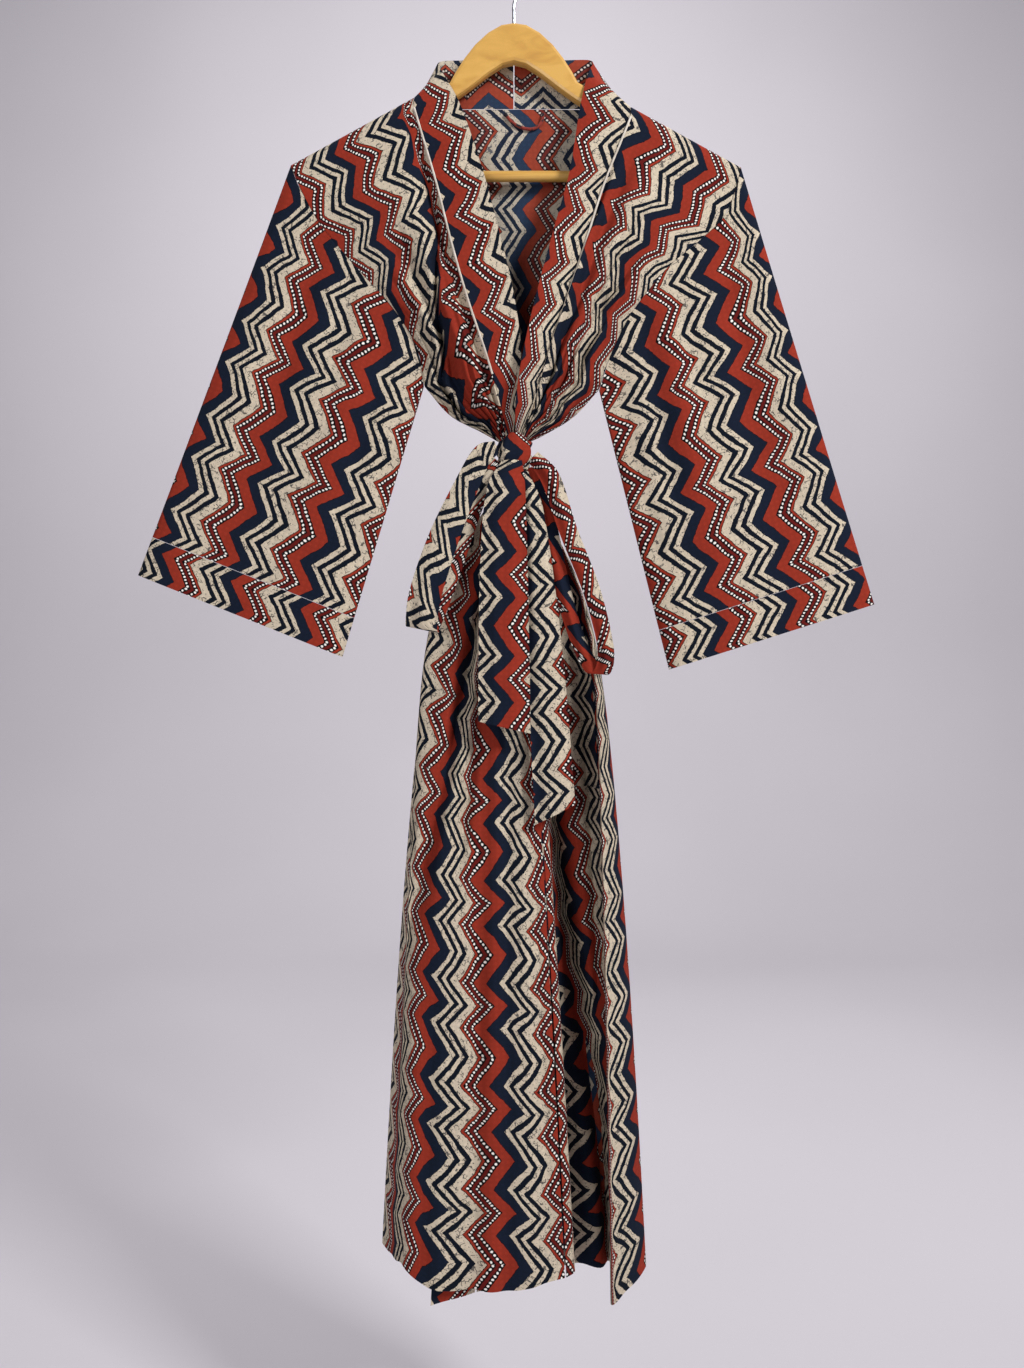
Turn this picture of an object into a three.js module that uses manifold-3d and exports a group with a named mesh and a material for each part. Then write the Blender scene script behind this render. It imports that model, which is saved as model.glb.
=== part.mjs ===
// Long wrap robe on a flat wooden hanger, belt tied in a bow. Millimetres, +Z up, front towards -Y.
// The origin is the inside top of the hook's bend. Left and right are as seen from the front.
import * as THREE from 'three';
import Module from 'manifold-3d';

// Cloth
const WALL = 1.2;            // thickness of every cloth wall
const SEAM = 0.9;            // open joint between two sewn pieces
const LIFT = 1.7;            // distance from a panel's middle to that of a piece lying on it
const WAIST_TOP = -505;      // where the gathered cloth enters the belt
const WAIST_LOW = -537;      // where it leaves the belt
const BACK_COLS = 26;
const FRONT_COLS = 18;
const BAND_COLS = 4;
const LOOP_STEPS = 3;         // steps of a loop between two rows of its table
const CUFF = 42;             // depth of the sewn-on cuff
const TURNS = [0, 0.35, 0.7];
const CHEST_STATIONS = [0.05, 0.12, 0.2, 0.3, 0.4, 0.5, 0.6, 0.7, 0.78, 0.85, 0.9, 0.95, 1];
const SKIRT_STATIONS = [0, 0.03, 0.07, 0.12, 0.19, 0.28, 0.39, 0.52, 0.67, 0.83, 1];
const NECK_STATIONS = [0, 0.06, 0.12, 0.17, 0.21];

// Hanger
const HANGER_SPAN = 440;
const HANGER_DEPTH = 13;
const BAR_RADIUS = 5.5;
const BAR_Z = -231;
const BAR_HALF = 195;
const WIRE_RADIUS = 1.8;
const HOOK_RADIUS = 19.8;

// Collar band, row by row from the back neck to the belt: its sewn edge (s) and its free edge (f).
const COLLAR_LEFT = [
  { v: 0.00, sx: -0.5, sy: 13, sz: -155, fx: -0.5, fy: 16, fz: -103 },
  { v: 0.10, sx: -44, sy: 13, sz: -155, fx: -40, fy: 16, fz: -103 },
  { v: 0.18, sx: -80, sy: 11, sz: -157, fx: -72, fy: 15, fz: -104 },
  { v: 0.24, sx: -100, sy: 7.5, sz: -157, fx: -79, fy: 9, fz: -110 },
  { v: 0.265, sx: -102, sy: 0, sz: -153, fx: -76, fy: 3, fz: -118 },
  { v: 0.29, sx: -102.5, sy: -9.5, sz: -162, fx: -72, fy: -6, fz: -129 },
  { v: 0.35, sx: -97, sy: -13, sz: -182, fx: -56, fy: -12, fz: -160 },
  { v: 0.50, sx: -78, sy: -20, sz: -248, fx: -32, fy: -20, fz: -232 },
  { v: 0.63, sx: -62, sy: -26, sz: -312, fx: -15, fy: -26, fz: -297 },
  { v: 0.74, sx: -46, sy: -30, sz: -368, fx: -1, fy: -31, fz: -358 },
  { v: 0.85, sx: -27, sy: -31, sz: -425, fx: 7, fy: -31, fz: -418 },
  { v: 0.93, sx: -15, sy: -26, sz: -466, fx: 3, fy: -26, fz: -462 },
  { v: 1.00, sx: -6.4, sy: -13, sz: WAIST_TOP, fx: -1.1, fy: -13, fz: WAIST_TOP },
];
const COLLAR_RIGHT = [
  { v: 0.00, sx: 0.5, sy: 13, sz: -155, fx: 0.5, fy: 16, fz: -103 },
  { v: 0.10, sx: 48, sy: 13, sz: -155, fx: 44, fy: 16, fz: -103 },
  { v: 0.18, sx: 92, sy: 11, sz: -157, fx: 77, fy: 15, fz: -103 },
  { v: 0.24, sx: 116.5, sy: 7.5, sz: -165, fx: 82, fy: 9, fz: -110 },
  { v: 0.265, sx: 119, sy: 0, sz: -162, fx: 79, fy: 3, fz: -118 },
  { v: 0.29, sx: 120, sy: -9.5, sz: -171, fx: 75, fy: -6, fz: -131 },
  { v: 0.35, sx: 113, sy: -13, sz: -191, fx: 68, fy: -12, fz: -162 },
  { v: 0.50, sx: 91, sy: -21, sz: -248, fx: 56, fy: -22, fz: -236 },
  { v: 0.63, sx: 71, sy: -29, sz: -312, fx: 38, fy: -32, fz: -304 },
  { v: 0.74, sx: 52, sy: -36, sz: -370, fx: 22, fy: -40, fz: -366 },
  { v: 0.85, sx: 35, sy: -39, sz: -421, fx: 9, fy: -44, fz: -424 },
  { v: 0.93, sx: 21, sy: -34, sz: -466, fx: 2, fy: -38, fz: -468 },
  { v: 1.00, sx: 7, sy: -15, sz: WAIST_TOP, fx: 1.4, fy: -17, fz: WAIST_TOP },
];
const NECK_V = 0.265;        // where the collar seam crosses the shoulder
const NECK_LEFT = -102;
const NECK_RIGHT = 119;

// Armhole seam from the shoulder point to the underarm, then the side down to the belt.
const ARMHOLE_LEFT = [
  { v: 0.00, x: -228, y: 9.2, z: -228.8 },
  { v: 0.22, x: -202, y: 11, z: -278 },
  { v: 0.34, x: -182, y: 12, z: -304 },
  { v: 0.46, x: -159, y: 12, z: -331 },
  { v: 0.58, x: -133, y: 12, z: -359 },
  { v: 0.70, x: -111, y: 10, z: -388 },
  { v: 0.79, x: -97, y: 6, z: -417 },
  { v: 0.85, x: -93, y: 2.5, z: -446 },
];
const ARMHOLE_RIGHT = [
  { v: 0.00, x: 232, y: 9.2, z: -231 },
  { v: 0.22, x: 215, y: 11, z: -276 },
  { v: 0.34, x: 190, y: 12, z: -301 },
  { v: 0.46, x: 161, y: 12, z: -325 },
  { v: 0.58, x: 139, y: 12, z: -350 },
  { v: 0.70, x: 117, y: 10, z: -380 },
  { v: 0.79, x: 99, y: 6, z: -417 },
  { v: 0.85, x: 88, y: 2.5, z: -450 },
];
const SIDE_LEFT = [
  { v: 0.85, x: -93, y: 2.5, z: -446 },
  { v: 0.90, x: -66, y: 0.75, z: -477 },
  { v: 0.95, x: -34, y: 0.75, z: -494 },
  { v: 1.00, x: -14.5, y: 0.75, z: WAIST_TOP },
];
const SIDE_RIGHT = [
  { v: 0.85, x: 88, y: 2.5, z: -450 },
  { v: 0.90, x: 62, y: 0.75, z: -478 },
  { v: 0.95, x: 33, y: 0.75, z: -496 },
  { v: 1.00, x: 14.5, y: 0.75, z: WAIST_TOP },
];

// Skirt: one row per fold line. w = place in the belt, h = place at the hem, p = how soon it spreads,
// u = share of the piece's width, seam row repeated where the front band is sewn on.
const SKIRT_LEFT = [
  { u: 0.00, wx: -14.5, wy: 0.4, hx: -140, hy: 41, hz: -1350, p: 0.34 },
  { u: 0.12, wx: -13.4, wy: -3, hx: -130, hy: 12, hz: -1345, p: 0.34 },
  { u: 0.26, wx: -12.2, wy: -7, hx: -114, hy: -24, hz: -1341, p: 0.17 },
  { u: 0.38, wx: -11, wy: -10, hx: -86, hy: -37, hz: -1358, p: 0.3 },
  { u: 0.56, wx: -9.6, wy: -12, hx: -42, hy: -33, hz: -1361, p: 0.45 },
  { u: 0.74, wx: -8.2, wy: -12.5, hx: -2, hy: -39, hz: -1360, p: 0.55 },
  { u: 0.88, wx: -7, wy: -12.7, hx: 29, hy: -34, hz: -1354, p: 0.64 },
  { u: 1.00, wx: -6, wy: -12.8, hx: 51, hy: -31, hz: -1350, p: 0.67 },
];
const BAND_LEFT = [
  { u: 0.00, wx: -4.7, wy: -12.9, hx: 52.7, hy: -30, hz: -1350, p: 0.67 },
  { u: 0.20, wx: -3.4, wy: -12.4, hx: 60.5, hy: -24, hz: -1348, p: 0.67 },
  { u: 0.50, wx: -2.3, wy: -11.7, hx: 61, hy: -12, hz: -1349, p: 0.67 },
  { u: 0.80, wx: -1.6, wy: -11, hx: 56, hy: -2, hz: -1352, p: 0.65 },
  { u: 1.00, wx: -1.1, wy: -10.5, hx: 50, hy: 3, hz: -1355, p: 0.63 },
];
const SKIRT_RIGHT = [
  { u: 0.00, wx: 14.5, wy: 0.4, hx: 129, hy: 38, hz: -1356, p: 0.34 },
  { u: 0.11, wx: 14, wy: -1, hx: 137, hy: 9, hz: -1358, p: 0.34 },
  { u: 0.21, wx: 13.3, wy: -3, hx: 121, hy: -20, hz: -1362, p: 0.25 },
  { u: 0.32, wx: 12.4, wy: -4.5, hx: 97, hy: -44, hz: -1371, p: 0.13 },
  { u: 0.44, wx: 11.3, wy: -3.6, hx: 104, hy: -10, hz: -1368, p: 0.2 },
  { u: 0.53, wx: 10.3, wy: -2, hx: 96, hy: 14, hz: -1366, p: 0.3 },
  { u: 0.62, wx: 9.2, wy: -1.4, hx: 71, hy: 23, hz: -1362, p: 0.42 },
  { u: 0.72, wx: 8.2, wy: -1.4, hx: 46, hy: 14, hz: -1362, p: 0.5 },
  { u: 0.86, wx: 6.8, wy: -2, hx: 2, hy: -7, hz: -1366, p: 0.55 },
  { u: 1.00, wx: 5.6, wy: -2.8, hx: -38, hy: -16, hz: -1372, p: 0.5 },
];
const BAND_RIGHT = [
  { u: 0.00, wx: 4.3, wy: -3.1, hx: -39.7, hy: -16.4, hz: -1372, p: 0.5 },
  { u: 0.50, wx: 2.8, wy: -4, hx: -62, hy: -20.5, hz: -1377, p: 0.5 },
  { u: 1.00, wx: 1.4, wy: -4.4, hx: -84, hy: -25, hz: -1381, p: 0.5 },
];
const SKIRT_BACK = [
  { u: 0.00, wx: -14.5, wy: 2.2, hx: -139.5, hy: 43.2, hz: -1352, p: 0.34 },
  { u: 0.10, wx: -13, wy: 6.5, hx: -121, hy: 66, hz: -1354, p: 0.34 },
  { u: 0.20, wx: -10, wy: 10.5, hx: -93, hy: 47, hz: -1356, p: 0.4 },
  { u: 0.31, wx: -7, wy: 12.3, hx: -64, hy: 70, hz: -1357, p: 0.4 },
  { u: 0.42, wx: -3.5, wy: 13, hx: -32, hy: 46, hz: -1358, p: 0.4 },
  { u: 0.53, wx: 0, wy: 13.4, hx: 1, hy: 72, hz: -1358, p: 0.4 },
  { u: 0.64, wx: 4, wy: 13, hx: 34, hy: 48, hz: -1358, p: 0.4 },
  { u: 0.75, wx: 7.5, wy: 12.3, hx: 64, hy: 69, hz: -1358, p: 0.4 },
  { u: 0.86, wx: 10.5, wy: 10.5, hx: 92, hy: 47, hz: -1358, p: 0.4 },
  { u: 0.94, wx: 13, wy: 6.5, hx: 116, hy: 61, hz: -1358, p: 0.34 },
  { u: 1.00, wx: 14.5, wy: 2.2, hx: 128.5, hy: 40.4, hz: -1358, p: 0.34 },
];

// Folds of the chest: u = place across, in = depth, w = width, from and to = how far down they run.
const CHEST_LEFT = [
  { u: 0.90, depth: 7, w: 0.07, from: 0.10, to: 0.97 },
  { u: 0.66, depth: -4, w: 0.11, from: 0.22, to: 0.97 },
  { u: 0.44, depth: 5, w: 0.09, from: 0.30, to: 0.97 },
  { u: 0.24, depth: -3, w: 0.1, from: 0.42, to: 0.97 },
];
const CHEST_RIGHT = [
  { u: 0.87, depth: 8, w: 0.07, from: 0.10, to: 0.97 },
  { u: 0.66, depth: -4, w: 0.11, from: 0.20, to: 0.97 },
  { u: 0.45, depth: 6, w: 0.09, from: 0.28, to: 0.97 },
  { u: 0.25, depth: -3, w: 0.1, from: 0.40, to: 0.97 },
];

// Belt
// Loops of the bow: centre of the strip, its width w and the slope a of its width, in degrees.
const LOOP_LEFT = [
  { v: 0, x: -17.6, y: -32, z: -516, w: 13, a: -70 },
  { v: 1, x: -32, y: -42, z: -527, w: 22, a: -52 },
  { v: 2, x: -49, y: -49, z: -562, w: 25, a: -30 },
  { v: 3, x: -70, y: -53, z: -612, w: 30, a: -23 },
  { v: 4, x: -87, y: -55, z: -664, w: 32, a: -18 },
  { v: 5, x: -91, y: -53.5, z: -690, w: 32, a: -14 },
  { v: 6, x: -91, y: -49, z: -700, w: 32, a: -12 },
  { v: 7, x: -88, y: -44, z: -692, w: 32, a: -14 },
  { v: 8, x: -72, y: -41, z: -652, w: 30, a: -20 },
  { v: 9, x: -50, y: -39.5, z: -595, w: 25, a: -24 },
  { v: 10, x: -33, y: -38, z: -556, w: 19, a: -28 },
  { v: 11, x: -24, y: -36, z: -536, w: 13, a: -40 },
];
const LOOP_RIGHT = [
  { v: 0, x: 19.4, y: -32, z: -526, w: 14, a: 50 },
  { v: 1, x: 37, y: -42, z: -551, w: 20, a: 38 },
  { v: 2, x: 54, y: -49, z: -603, w: 20, a: 22 },
  { v: 3, x: 74, y: -52, z: -660, w: 21, a: 20 },
  { v: 4, x: 88, y: -53.5, z: -710, w: 23, a: 12 },
  { v: 5, x: 89, y: -52, z: -734, w: 25, a: 3 },
  { v: 6, x: 84, y: -48, z: -744, w: 25, a: -4 },
  { v: 7, x: 77, y: -44, z: -736, w: 25, a: 6 },
  { v: 8, x: 62, y: -42, z: -706, w: 24, a: 24 },
  { v: 9, x: 48, y: -41, z: -655, w: 24, a: 18 },
  { v: 10, x: 37, y: -36, z: -600, w: 20, a: 18 },
  { v: 11, x: 25, y: -31, z: -546, w: 12, a: 30 },
];
const TAIL_FRONT = [
  { v: 0.00, x: -2, y: -40, z: -531, w: 20, slant: 0 },
  { v: 0.15, x: -8, y: -52, z: -560, w: 38, slant: 2 },
  { v: 0.40, x: -10, y: -54, z: -640, w: 47, slant: 0 },
  { v: 1.00, x: -9.5, y: -52, z: -797, w: 52, slant: -12 },
];
const TAIL_REAR = [
  { v: 0.00, x: 8, y: -35, z: -541, w: 12, slant: 0 },
  { v: 0.15, x: 18, y: -44, z: -580, w: 22, slant: 0 },
  { v: 0.50, x: 30, y: -45, z: -720, w: 36, slant: 0 },
  { v: 1.00, x: 41, y: -44, z: -884, w: 40, slant: 20 },
];

const solids = await Module();
solids.setup();

const COTTON = { color: 0xa8402e, roughness: 0.92 };
const PIPING = { color: 0xd6ccc0, roughness: 0.9 };
const WOOD = { color: 0xdaac54, roughness: 0.4 };
const STEEL = { color: 0xb8bcc0, roughness: 0.25, metalness: 1 };

// Value of one column of a table at v, as a smooth curve through its rows.
function along(rows, key, v, axis = 'v') {
  let i = 0;
  while (i < rows.length - 2 && v > rows[i + 1][axis]) i += 1;
  const a = rows[i];
  const b = rows[i + 1];
  const span = b[axis] - a[axis];
  const t = Math.min(1, Math.max(0, (v - a[axis]) / span));
  const before = rows[Math.max(0, i - 1)];
  const after = rows[Math.min(rows.length - 1, i + 2)];
  const slopeA = (b[key] - before[key]) / (b[axis] - before[axis]);
  const slopeB = (after[key] - a[key]) / (after[axis] - a[axis]);
  const t2 = t * t;
  const t3 = t2 * t;
  return (2 * t3 - 3 * t2 + 1) * a[key] + (t3 - 2 * t2 + t) * span * slopeA
    + (3 * t2 - 2 * t3) * b[key] + (t3 - t2) * span * slopeB;
}

function smooth(a, b, v) {
  const t = Math.min(1, Math.max(0, (v - a) / (b - a)));
  return t * t * (3 - 2 * t);
}

function steps(count) {
  return Array.from({ length: count + 1 }, (_, i) => i / count);
}

// Unit normals of a net of points; a ring closes across each row.
function netNormals(net, ring) {
  return net.map((row, i) => row.map((_, j) => {
    const n = row.length;
    const left = ring ? row[(j + n - 1) % n] : row[Math.max(0, j - 1)];
    const right = ring ? row[(j + 1) % n] : row[Math.min(n - 1, j + 1)];
    const up = net[Math.max(0, i - 1)][j];
    const down = net[Math.min(net.length - 1, i + 1)][j];
    const across = right.clone().sub(left);
    const along_ = down.clone().sub(up);
    return across.cross(along_).normalize();
  }));
}

function mesh(name, points, triangles, look) {
  const geometry = new THREE.BufferGeometry();
  const flat = points.flatMap((p) => [p.x, p.y, p.z]);
  geometry.setAttribute('position', new THREE.Float32BufferAttribute(flat, 3));
  geometry.setIndex(triangles);
  geometry.computeVertexNormals();
  const result = new THREE.Mesh(geometry, new THREE.MeshStandardMaterial({ side: THREE.FrontSide, ...look }));
  result.name = name;
  return result;
}

// Signed volume, used to turn a body whose net runs the other way.
function volume(points, triangles) {
  let sum = 0;
  for (let i = 0; i < triangles.length; i += 3) {
    const [a, b, c] = [points[triangles[i]], points[triangles[i + 1]], points[triangles[i + 2]]];
    sum += a.dot(b.clone().cross(c));
  }
  return sum / 6;
}

// A closed wall of cloth on both sides of a net of points.
function clothWall(name, net, ring = false, look = COTTON, thick = WALL) {
  const rows = net.length;
  const cols = net[0].length;
  const normals = netNormals(net, ring);
  const points = [];
  [0.5, -0.5].forEach((side) => {
    net.forEach((row, i) => row.forEach((p, j) => {
      points.push(p.clone().addScaledVector(normals[i][j], side * thick));
    }));
  });
  const at = (side, i, j) => side * rows * cols + i * cols + (j % cols);
  const triangles = [];
  const quad = (a, b, c, d) => triangles.push(a, b, c, a, c, d);
  const lastCol = ring ? cols : cols - 1;
  for (let i = 0; i < rows - 1; i += 1) {
    for (let j = 0; j < lastCol; j += 1) {
      quad(at(0, i, j), at(0, i, j + 1), at(0, i + 1, j + 1), at(0, i + 1, j));
      quad(at(1, i, j), at(1, i + 1, j), at(1, i + 1, j + 1), at(1, i, j + 1));
    }
  }
  for (let j = 0; j < lastCol; j += 1) {
    quad(at(0, 0, j), at(1, 0, j), at(1, 0, j + 1), at(0, 0, j + 1));
    quad(at(0, rows - 1, j), at(0, rows - 1, j + 1), at(1, rows - 1, j + 1), at(1, rows - 1, j));
  }
  if (!ring) {
    for (let i = 0; i < rows - 1; i += 1) {
      quad(at(0, i, 0), at(0, i + 1, 0), at(1, i + 1, 0), at(1, i, 0));
      quad(at(0, i, cols - 1), at(1, i, cols - 1), at(1, i + 1, cols - 1), at(0, i + 1, cols - 1));
    }
  }
  if (volume(points, triangles) < 0) triangles.reverse();
  return mesh(name, points, triangles, look);
}

// A closed round rod along a path.
function rod(name, path, radius, look, rings, sides = 8) {
  const round = new THREE.Shape();
  round.absarc(0, 0, radius, 0, Math.PI * 2);
  const curve = new THREE.CatmullRomCurve3(path, false, 'centripetal');
  const options = { steps: rings, curveSegments: sides / 2, extrudePath: curve, bevelEnabled: false };
  const result = new THREE.Mesh(new THREE.ExtrudeGeometry(round, options), new THREE.MeshStandardMaterial(look));
  result.name = name;
  return result;
}

// The edge of a front or of the back, moved in from the armhole or side by half a seam.
function outerEdge(left, v, face) {
  const armhole = left ? ARMHOLE_LEFT : ARMHOLE_RIGHT;
  const side = left ? SIDE_LEFT : SIDE_RIGHT;
  const table = v <= 0.85 ? armhole : side;
  const inward = (left ? 1 : -1) * SEAM * 0.6 * (1 - smooth(0.9, 1, v));
  return new THREE.Vector3(along(table, 'x', v) + inward, face * along(table, 'y', v), along(table, 'z', v));
}

// Sewn and free edge of the collar band at s, from the back neck to the belt.
function collarEdges(left, s) {
  const table = left ? COLLAR_LEFT : COLLAR_RIGHT;
  return ['s', 'f'].map((edge) => new THREE.Vector3(
    along(table, `${edge}x`, s), along(table, `${edge}y`, s), along(table, `${edge}z`, s)));
}

// The edge of a panel along the collar seam, a seam's width away from the band.
function besideCollar(left, s) {
  const [seam, free] = collarEdges(left, s);
  return seam.clone().addScaledVector(seam.clone().sub(free).normalize(), SEAM);
}

function hangerTop(x) {
  const a = Math.abs(x);
  return a < 66 ? -75 - 61 * (a / 66) ** 2 : -136 - (a - 66) * 0.55;
}

// Cloth over the hanger's arm: it turns from the top of the arm down its front or back face.
function overArm(x, turn, face) {
  const angle = turn * Math.PI / 2;
  return new THREE.Vector3(x, face * (0.75 + 8.45 * Math.sin(angle)),
    hangerTop(x) + 4.5 - 8.5 * (1 - Math.cos(angle)));
}

// Depth of the chest folds at a place on a front.
function chestFold(folds, u, v) {
  return folds.reduce((sum, f) => {
    const reach = smooth(f.from, f.from + 0.25, v) * (1 - smooth(0.82, f.to, v));
    return sum + f.depth * reach * Math.exp(-(((u - f.u) / f.w) ** 2));
  }, 0);
}

// A skirt's point: u across by the table's folds, t down from the belt to the hem.
function skirtPoint(table, u, t) {
  const row = (key) => along(table, key, u, 'u');
  const opened = 1 - Math.exp(-((t / 0.1) ** 1.5));
  const spread = opened * t ** row('p');
  const deep = opened * Math.sqrt(t);
  return new THREE.Vector3(
    row('wx') + (row('hx') - row('wx')) * spread,
    row('wy') + (row('hy') - row('wy')) * deep,
    WAIST_LOW + (row('hz') - WAIST_LOW) * t,
  );
}

function frontPanel(name, left) {
  const folds = left ? CHEST_LEFT : CHEST_RIGHT;
  const skirt = left ? SKIRT_LEFT : SKIRT_RIGHT;
  const us = steps(FRONT_COLS);
  const fromX = outerEdge(left, 0, -1).x;
  const toX = left ? NECK_LEFT - SEAM : NECK_RIGHT + SEAM;
  const net = TURNS.map((turn) => us.map((u) => overArm(THREE.MathUtils.lerp(fromX, toX, u), turn, -1)));
  CHEST_STATIONS.forEach((v) => net.push(us.map((u) => {
    const p = outerEdge(left, v, -1).lerp(besideCollar(left, NECK_V + v * (1 - NECK_V)), u);
    p.y += chestFold(folds, u, v) - 7 * Math.sin(Math.PI * u) * smooth(0.1, 0.4, v) * (1 - smooth(0.75, 1, v));
    if (v < 0.4) p.y = Math.min(p.y, -9.2);
    return p;
  })));
  SKIRT_STATIONS.forEach((t) => net.push(us.map((u) => skirtPoint(skirt, u, t))));
  return clothWall(name, net);
}

// Top edge of the back: over both arms, and below the collar seam between them.
function backTop(x, turn) {
  if (x < NECK_LEFT - SEAM / 2 || x > NECK_RIGHT + SEAM / 2) return overArm(x, turn, 1);
  const left = x < 0;
  const line = NECK_STATIONS.map((s) => collarEdges(left, s)[0]);
  line.push(overArm(left ? NECK_LEFT : NECK_RIGHT, 0.7, 1));
  const last = line.findIndex((p) => Math.abs(p.x) >= Math.abs(x));
  const b = line[Math.max(1, last)];
  const a = line[Math.max(1, last) - 1];
  const p = a.clone().lerp(b, (x - a.x) / (b.x - a.x));
  p.z -= 1.7 * SEAM + 8.5 * (1 - Math.cos(turn * Math.PI / 2));
  return p.setX(x);
}

// Places across the back: the two arms, and the neck between them.
function backAcross() {
  const from = outerEdge(true, 0, 1).x;
  const to = outerEdge(false, 0, 1).x;
  const spread = (a, b, count) => steps(count).map((t) => (THREE.MathUtils.lerp(a, b, t) - from) / (to - from));
  return [
    ...spread(from, NECK_LEFT - SEAM, 6),
    ...spread(NECK_LEFT + 0.3, NECK_RIGHT - 0.5, BACK_COLS - 14),
    ...spread(NECK_RIGHT + SEAM, to, 6),
  ];
}

function backPanel(name) {
  const us = backAcross();
  const fromX = outerEdge(true, 0, 1).x;
  const toX = outerEdge(false, 0, 1).x;
  const top = (u, turn) => backTop(THREE.MathUtils.lerp(fromX, toX, u), turn);
  const net = TURNS.map((turn) => us.map((u) => top(u, turn)));
  const base = (u, v) => outerEdge(true, v, 1).lerp(outerEdge(false, v, 1), u);
  CHEST_STATIONS.forEach((v) => net.push(us.map((u) => {
    const p = base(u, v);
    const hang = 1 - smooth(-0.15, 0.85, v);
    p.addScaledVector(top(u, 1).sub(base(u, 0)), hang);
    const round = Math.sin(Math.PI * u) ** 0.7;
    p.y += round * (16 * smooth(0.2, 0.8, v) - 4 * smooth(0.9, 1, v));
    p.y += 5 * Math.cos(u * Math.PI * 8) * round * smooth(0.3, 0.7, v) * (1 - smooth(0.82, 0.97, v));
    if (v < 0.4) p.y = Math.max(p.y, 9.2);
    return p;
  })));
  SKIRT_STATIONS.forEach((t) => net.push(us.map((u) => skirtPoint(SKIRT_BACK, u, t))));
  return clothWall(name, net);
}

// Sleeve ring: over the hanger's arm, down the armhole to the underarm and back up; s runs to the hem.
const SLEEVE_TURNS = TURNS.slice(1).map((turn) => ({ turn, w: 0.035 * turn }));
const SLEEVE_ROUND = CHEST_STATIONS.filter((v) => v <= 0.85).map((v) => ({ v, w: v / 0.85 * 0.98 }));

function sleeveTop(left, at, face) {
  if (at.w === 1) return outerEdge(left, 0.85, face).setY(0).add(new THREE.Vector3(0, 0, -2.2));
  if (at.v) return outerEdge(left, at.v, face);
  return overArm(outerEdge(left, 0, face).x, at.turn, face).multiply(new THREE.Vector3(1, at.w ? 1 : 0, 1));
}

function sleevePoint(left, at, face, s, short) {
  const out = left ? -1 : 1;
  const edge = sleeveTop(left, at, face).add(new THREE.Vector3(out * SEAM * 1.2, 0, -SEAM * 0.4 * at.w));
  const outer = new THREE.Vector3(left ? -387 : 371, 0, left ? -642 : -672);
  const inner = new THREE.Vector3(left ? -177 : 160, 0, left ? -726 : -739);
  const hem = outer.lerp(inner, at.w);
  const fold = at.w === 0 || at.w === 1;
  hem.y = fold ? 0 : face * 9 * Math.sqrt(1 - (2 * at.w - 1) ** 8);
  const reach = edge.distanceTo(hem);
  const p = edge.clone().lerp(hem, short ? s * (1 - short / reach) : 1 - (1 - s) * (CUFF - SEAM) / reach);
  const swell = Math.sin(Math.PI * at.w) * Math.sin(Math.PI * Math.min(1, s));
  p.y += short ? face * 3 * swell * Math.cos(3 * Math.PI * at.w) : 0;
  return p;
}

function sleeveRing(left, s, short) {
  const half = [...SLEEVE_TURNS, ...SLEEVE_ROUND];
  const front = [{ turn: 0, w: 0 }, ...half, { w: 1 }].map((at) => sleevePoint(left, at, -1, s, short));
  const back = [...half].reverse().map((at) => sleevePoint(left, at, 1, s, short));
  return [...front, ...back];
}

function sleeve(name, left) {
  return clothWall(name, steps(8).map((s) => sleeveRing(left, s, CUFF)), true);
}

function cuff(name, left) {
  return clothWall(name, steps(1).map((s) => sleeveRing(left, s, 0)), true);
}

// Collar and front band in one length: back neck, shoulder, chest, through the belt, down to the hem.
function frontBand(name, left) {
  const table = left ? BAND_LEFT : BAND_RIGHT;
  const us = steps(BAND_COLS);
  const across = ([seam, free]) => us.map((u) => seam.clone().lerp(free, u));
  const net = NECK_STATIONS.map((s) => across(collarEdges(left, s)));
  const turns = [...TURNS.slice(1).reverse().map((turn) => [turn, 1]), ...TURNS.map((turn) => [turn, -1])];
  turns.forEach(([turn, face]) => {
    const seam = overArm(left ? NECK_LEFT : NECK_RIGHT, turn, face);
    if (turn === 0) seam.y = 0;
    net.push(across([seam, collarEdges(left, NECK_V - face * 0.036 * turn)[1]]));
  });
  CHEST_STATIONS.forEach((v) => net.push(across(collarEdges(left, NECK_V + v * (1 - NECK_V)))));
  SKIRT_STATIONS.forEach((t) => net.push(us.map((u) => skirtPoint(table, u, t))));
  return clothWall(name, net);
}

// Piping lies on the collar seam, moved out by the wall and its own radius.
function piping(name, left) {
  const path = [];
  for (let s = 0.305; s < 0.9; s += 0.03) {
    const [seam, free] = collarEdges(left, s);
    const next = collarEdges(left, s + 0.01)[0];
    const out = next.sub(seam).cross(free.clone().sub(seam)).normalize();
    if (out.y > 0) out.negate();
    path.push(seam.clone().add(besideCollar(left, s)).multiplyScalar(0.5).addScaledVector(out, 2.2));
  }
  return rod(name, path, 1.1, PIPING, 32, 6);
}

function neckLoop(name) {
  const path = [[-9, 10.4, -161], [-2, 10.2, -170], [9, 10.2, -176], [20, 10.2, -177], [28, 10.2, -171], [31, 10.4, -161]];
  return rod(name, path.map((p) => new THREE.Vector3(...p)), 1.6, COTTON, 18, 6);
}

// Patch pocket: the front's own points, moved out along its surface.
function pocket(name) {
  const point = (u, t) => skirtPoint(SKIRT_RIGHT, u, t);
  const net = SKIRT_STATIONS.slice(4, 7).map((t) => steps(5).map((k) => {
    const u = (8 + 5 * k) / FRONT_COLS;
    const across = point(u + 1 / FRONT_COLS, t).sub(point(u - 1 / FRONT_COLS, t));
    const down = point(u, t + 0.03).sub(point(u, t - 0.03));
    return point(u, t).addScaledVector(across.cross(down).normalize(), LIFT);
  }));
  return clothWall(name, net);
}

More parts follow.
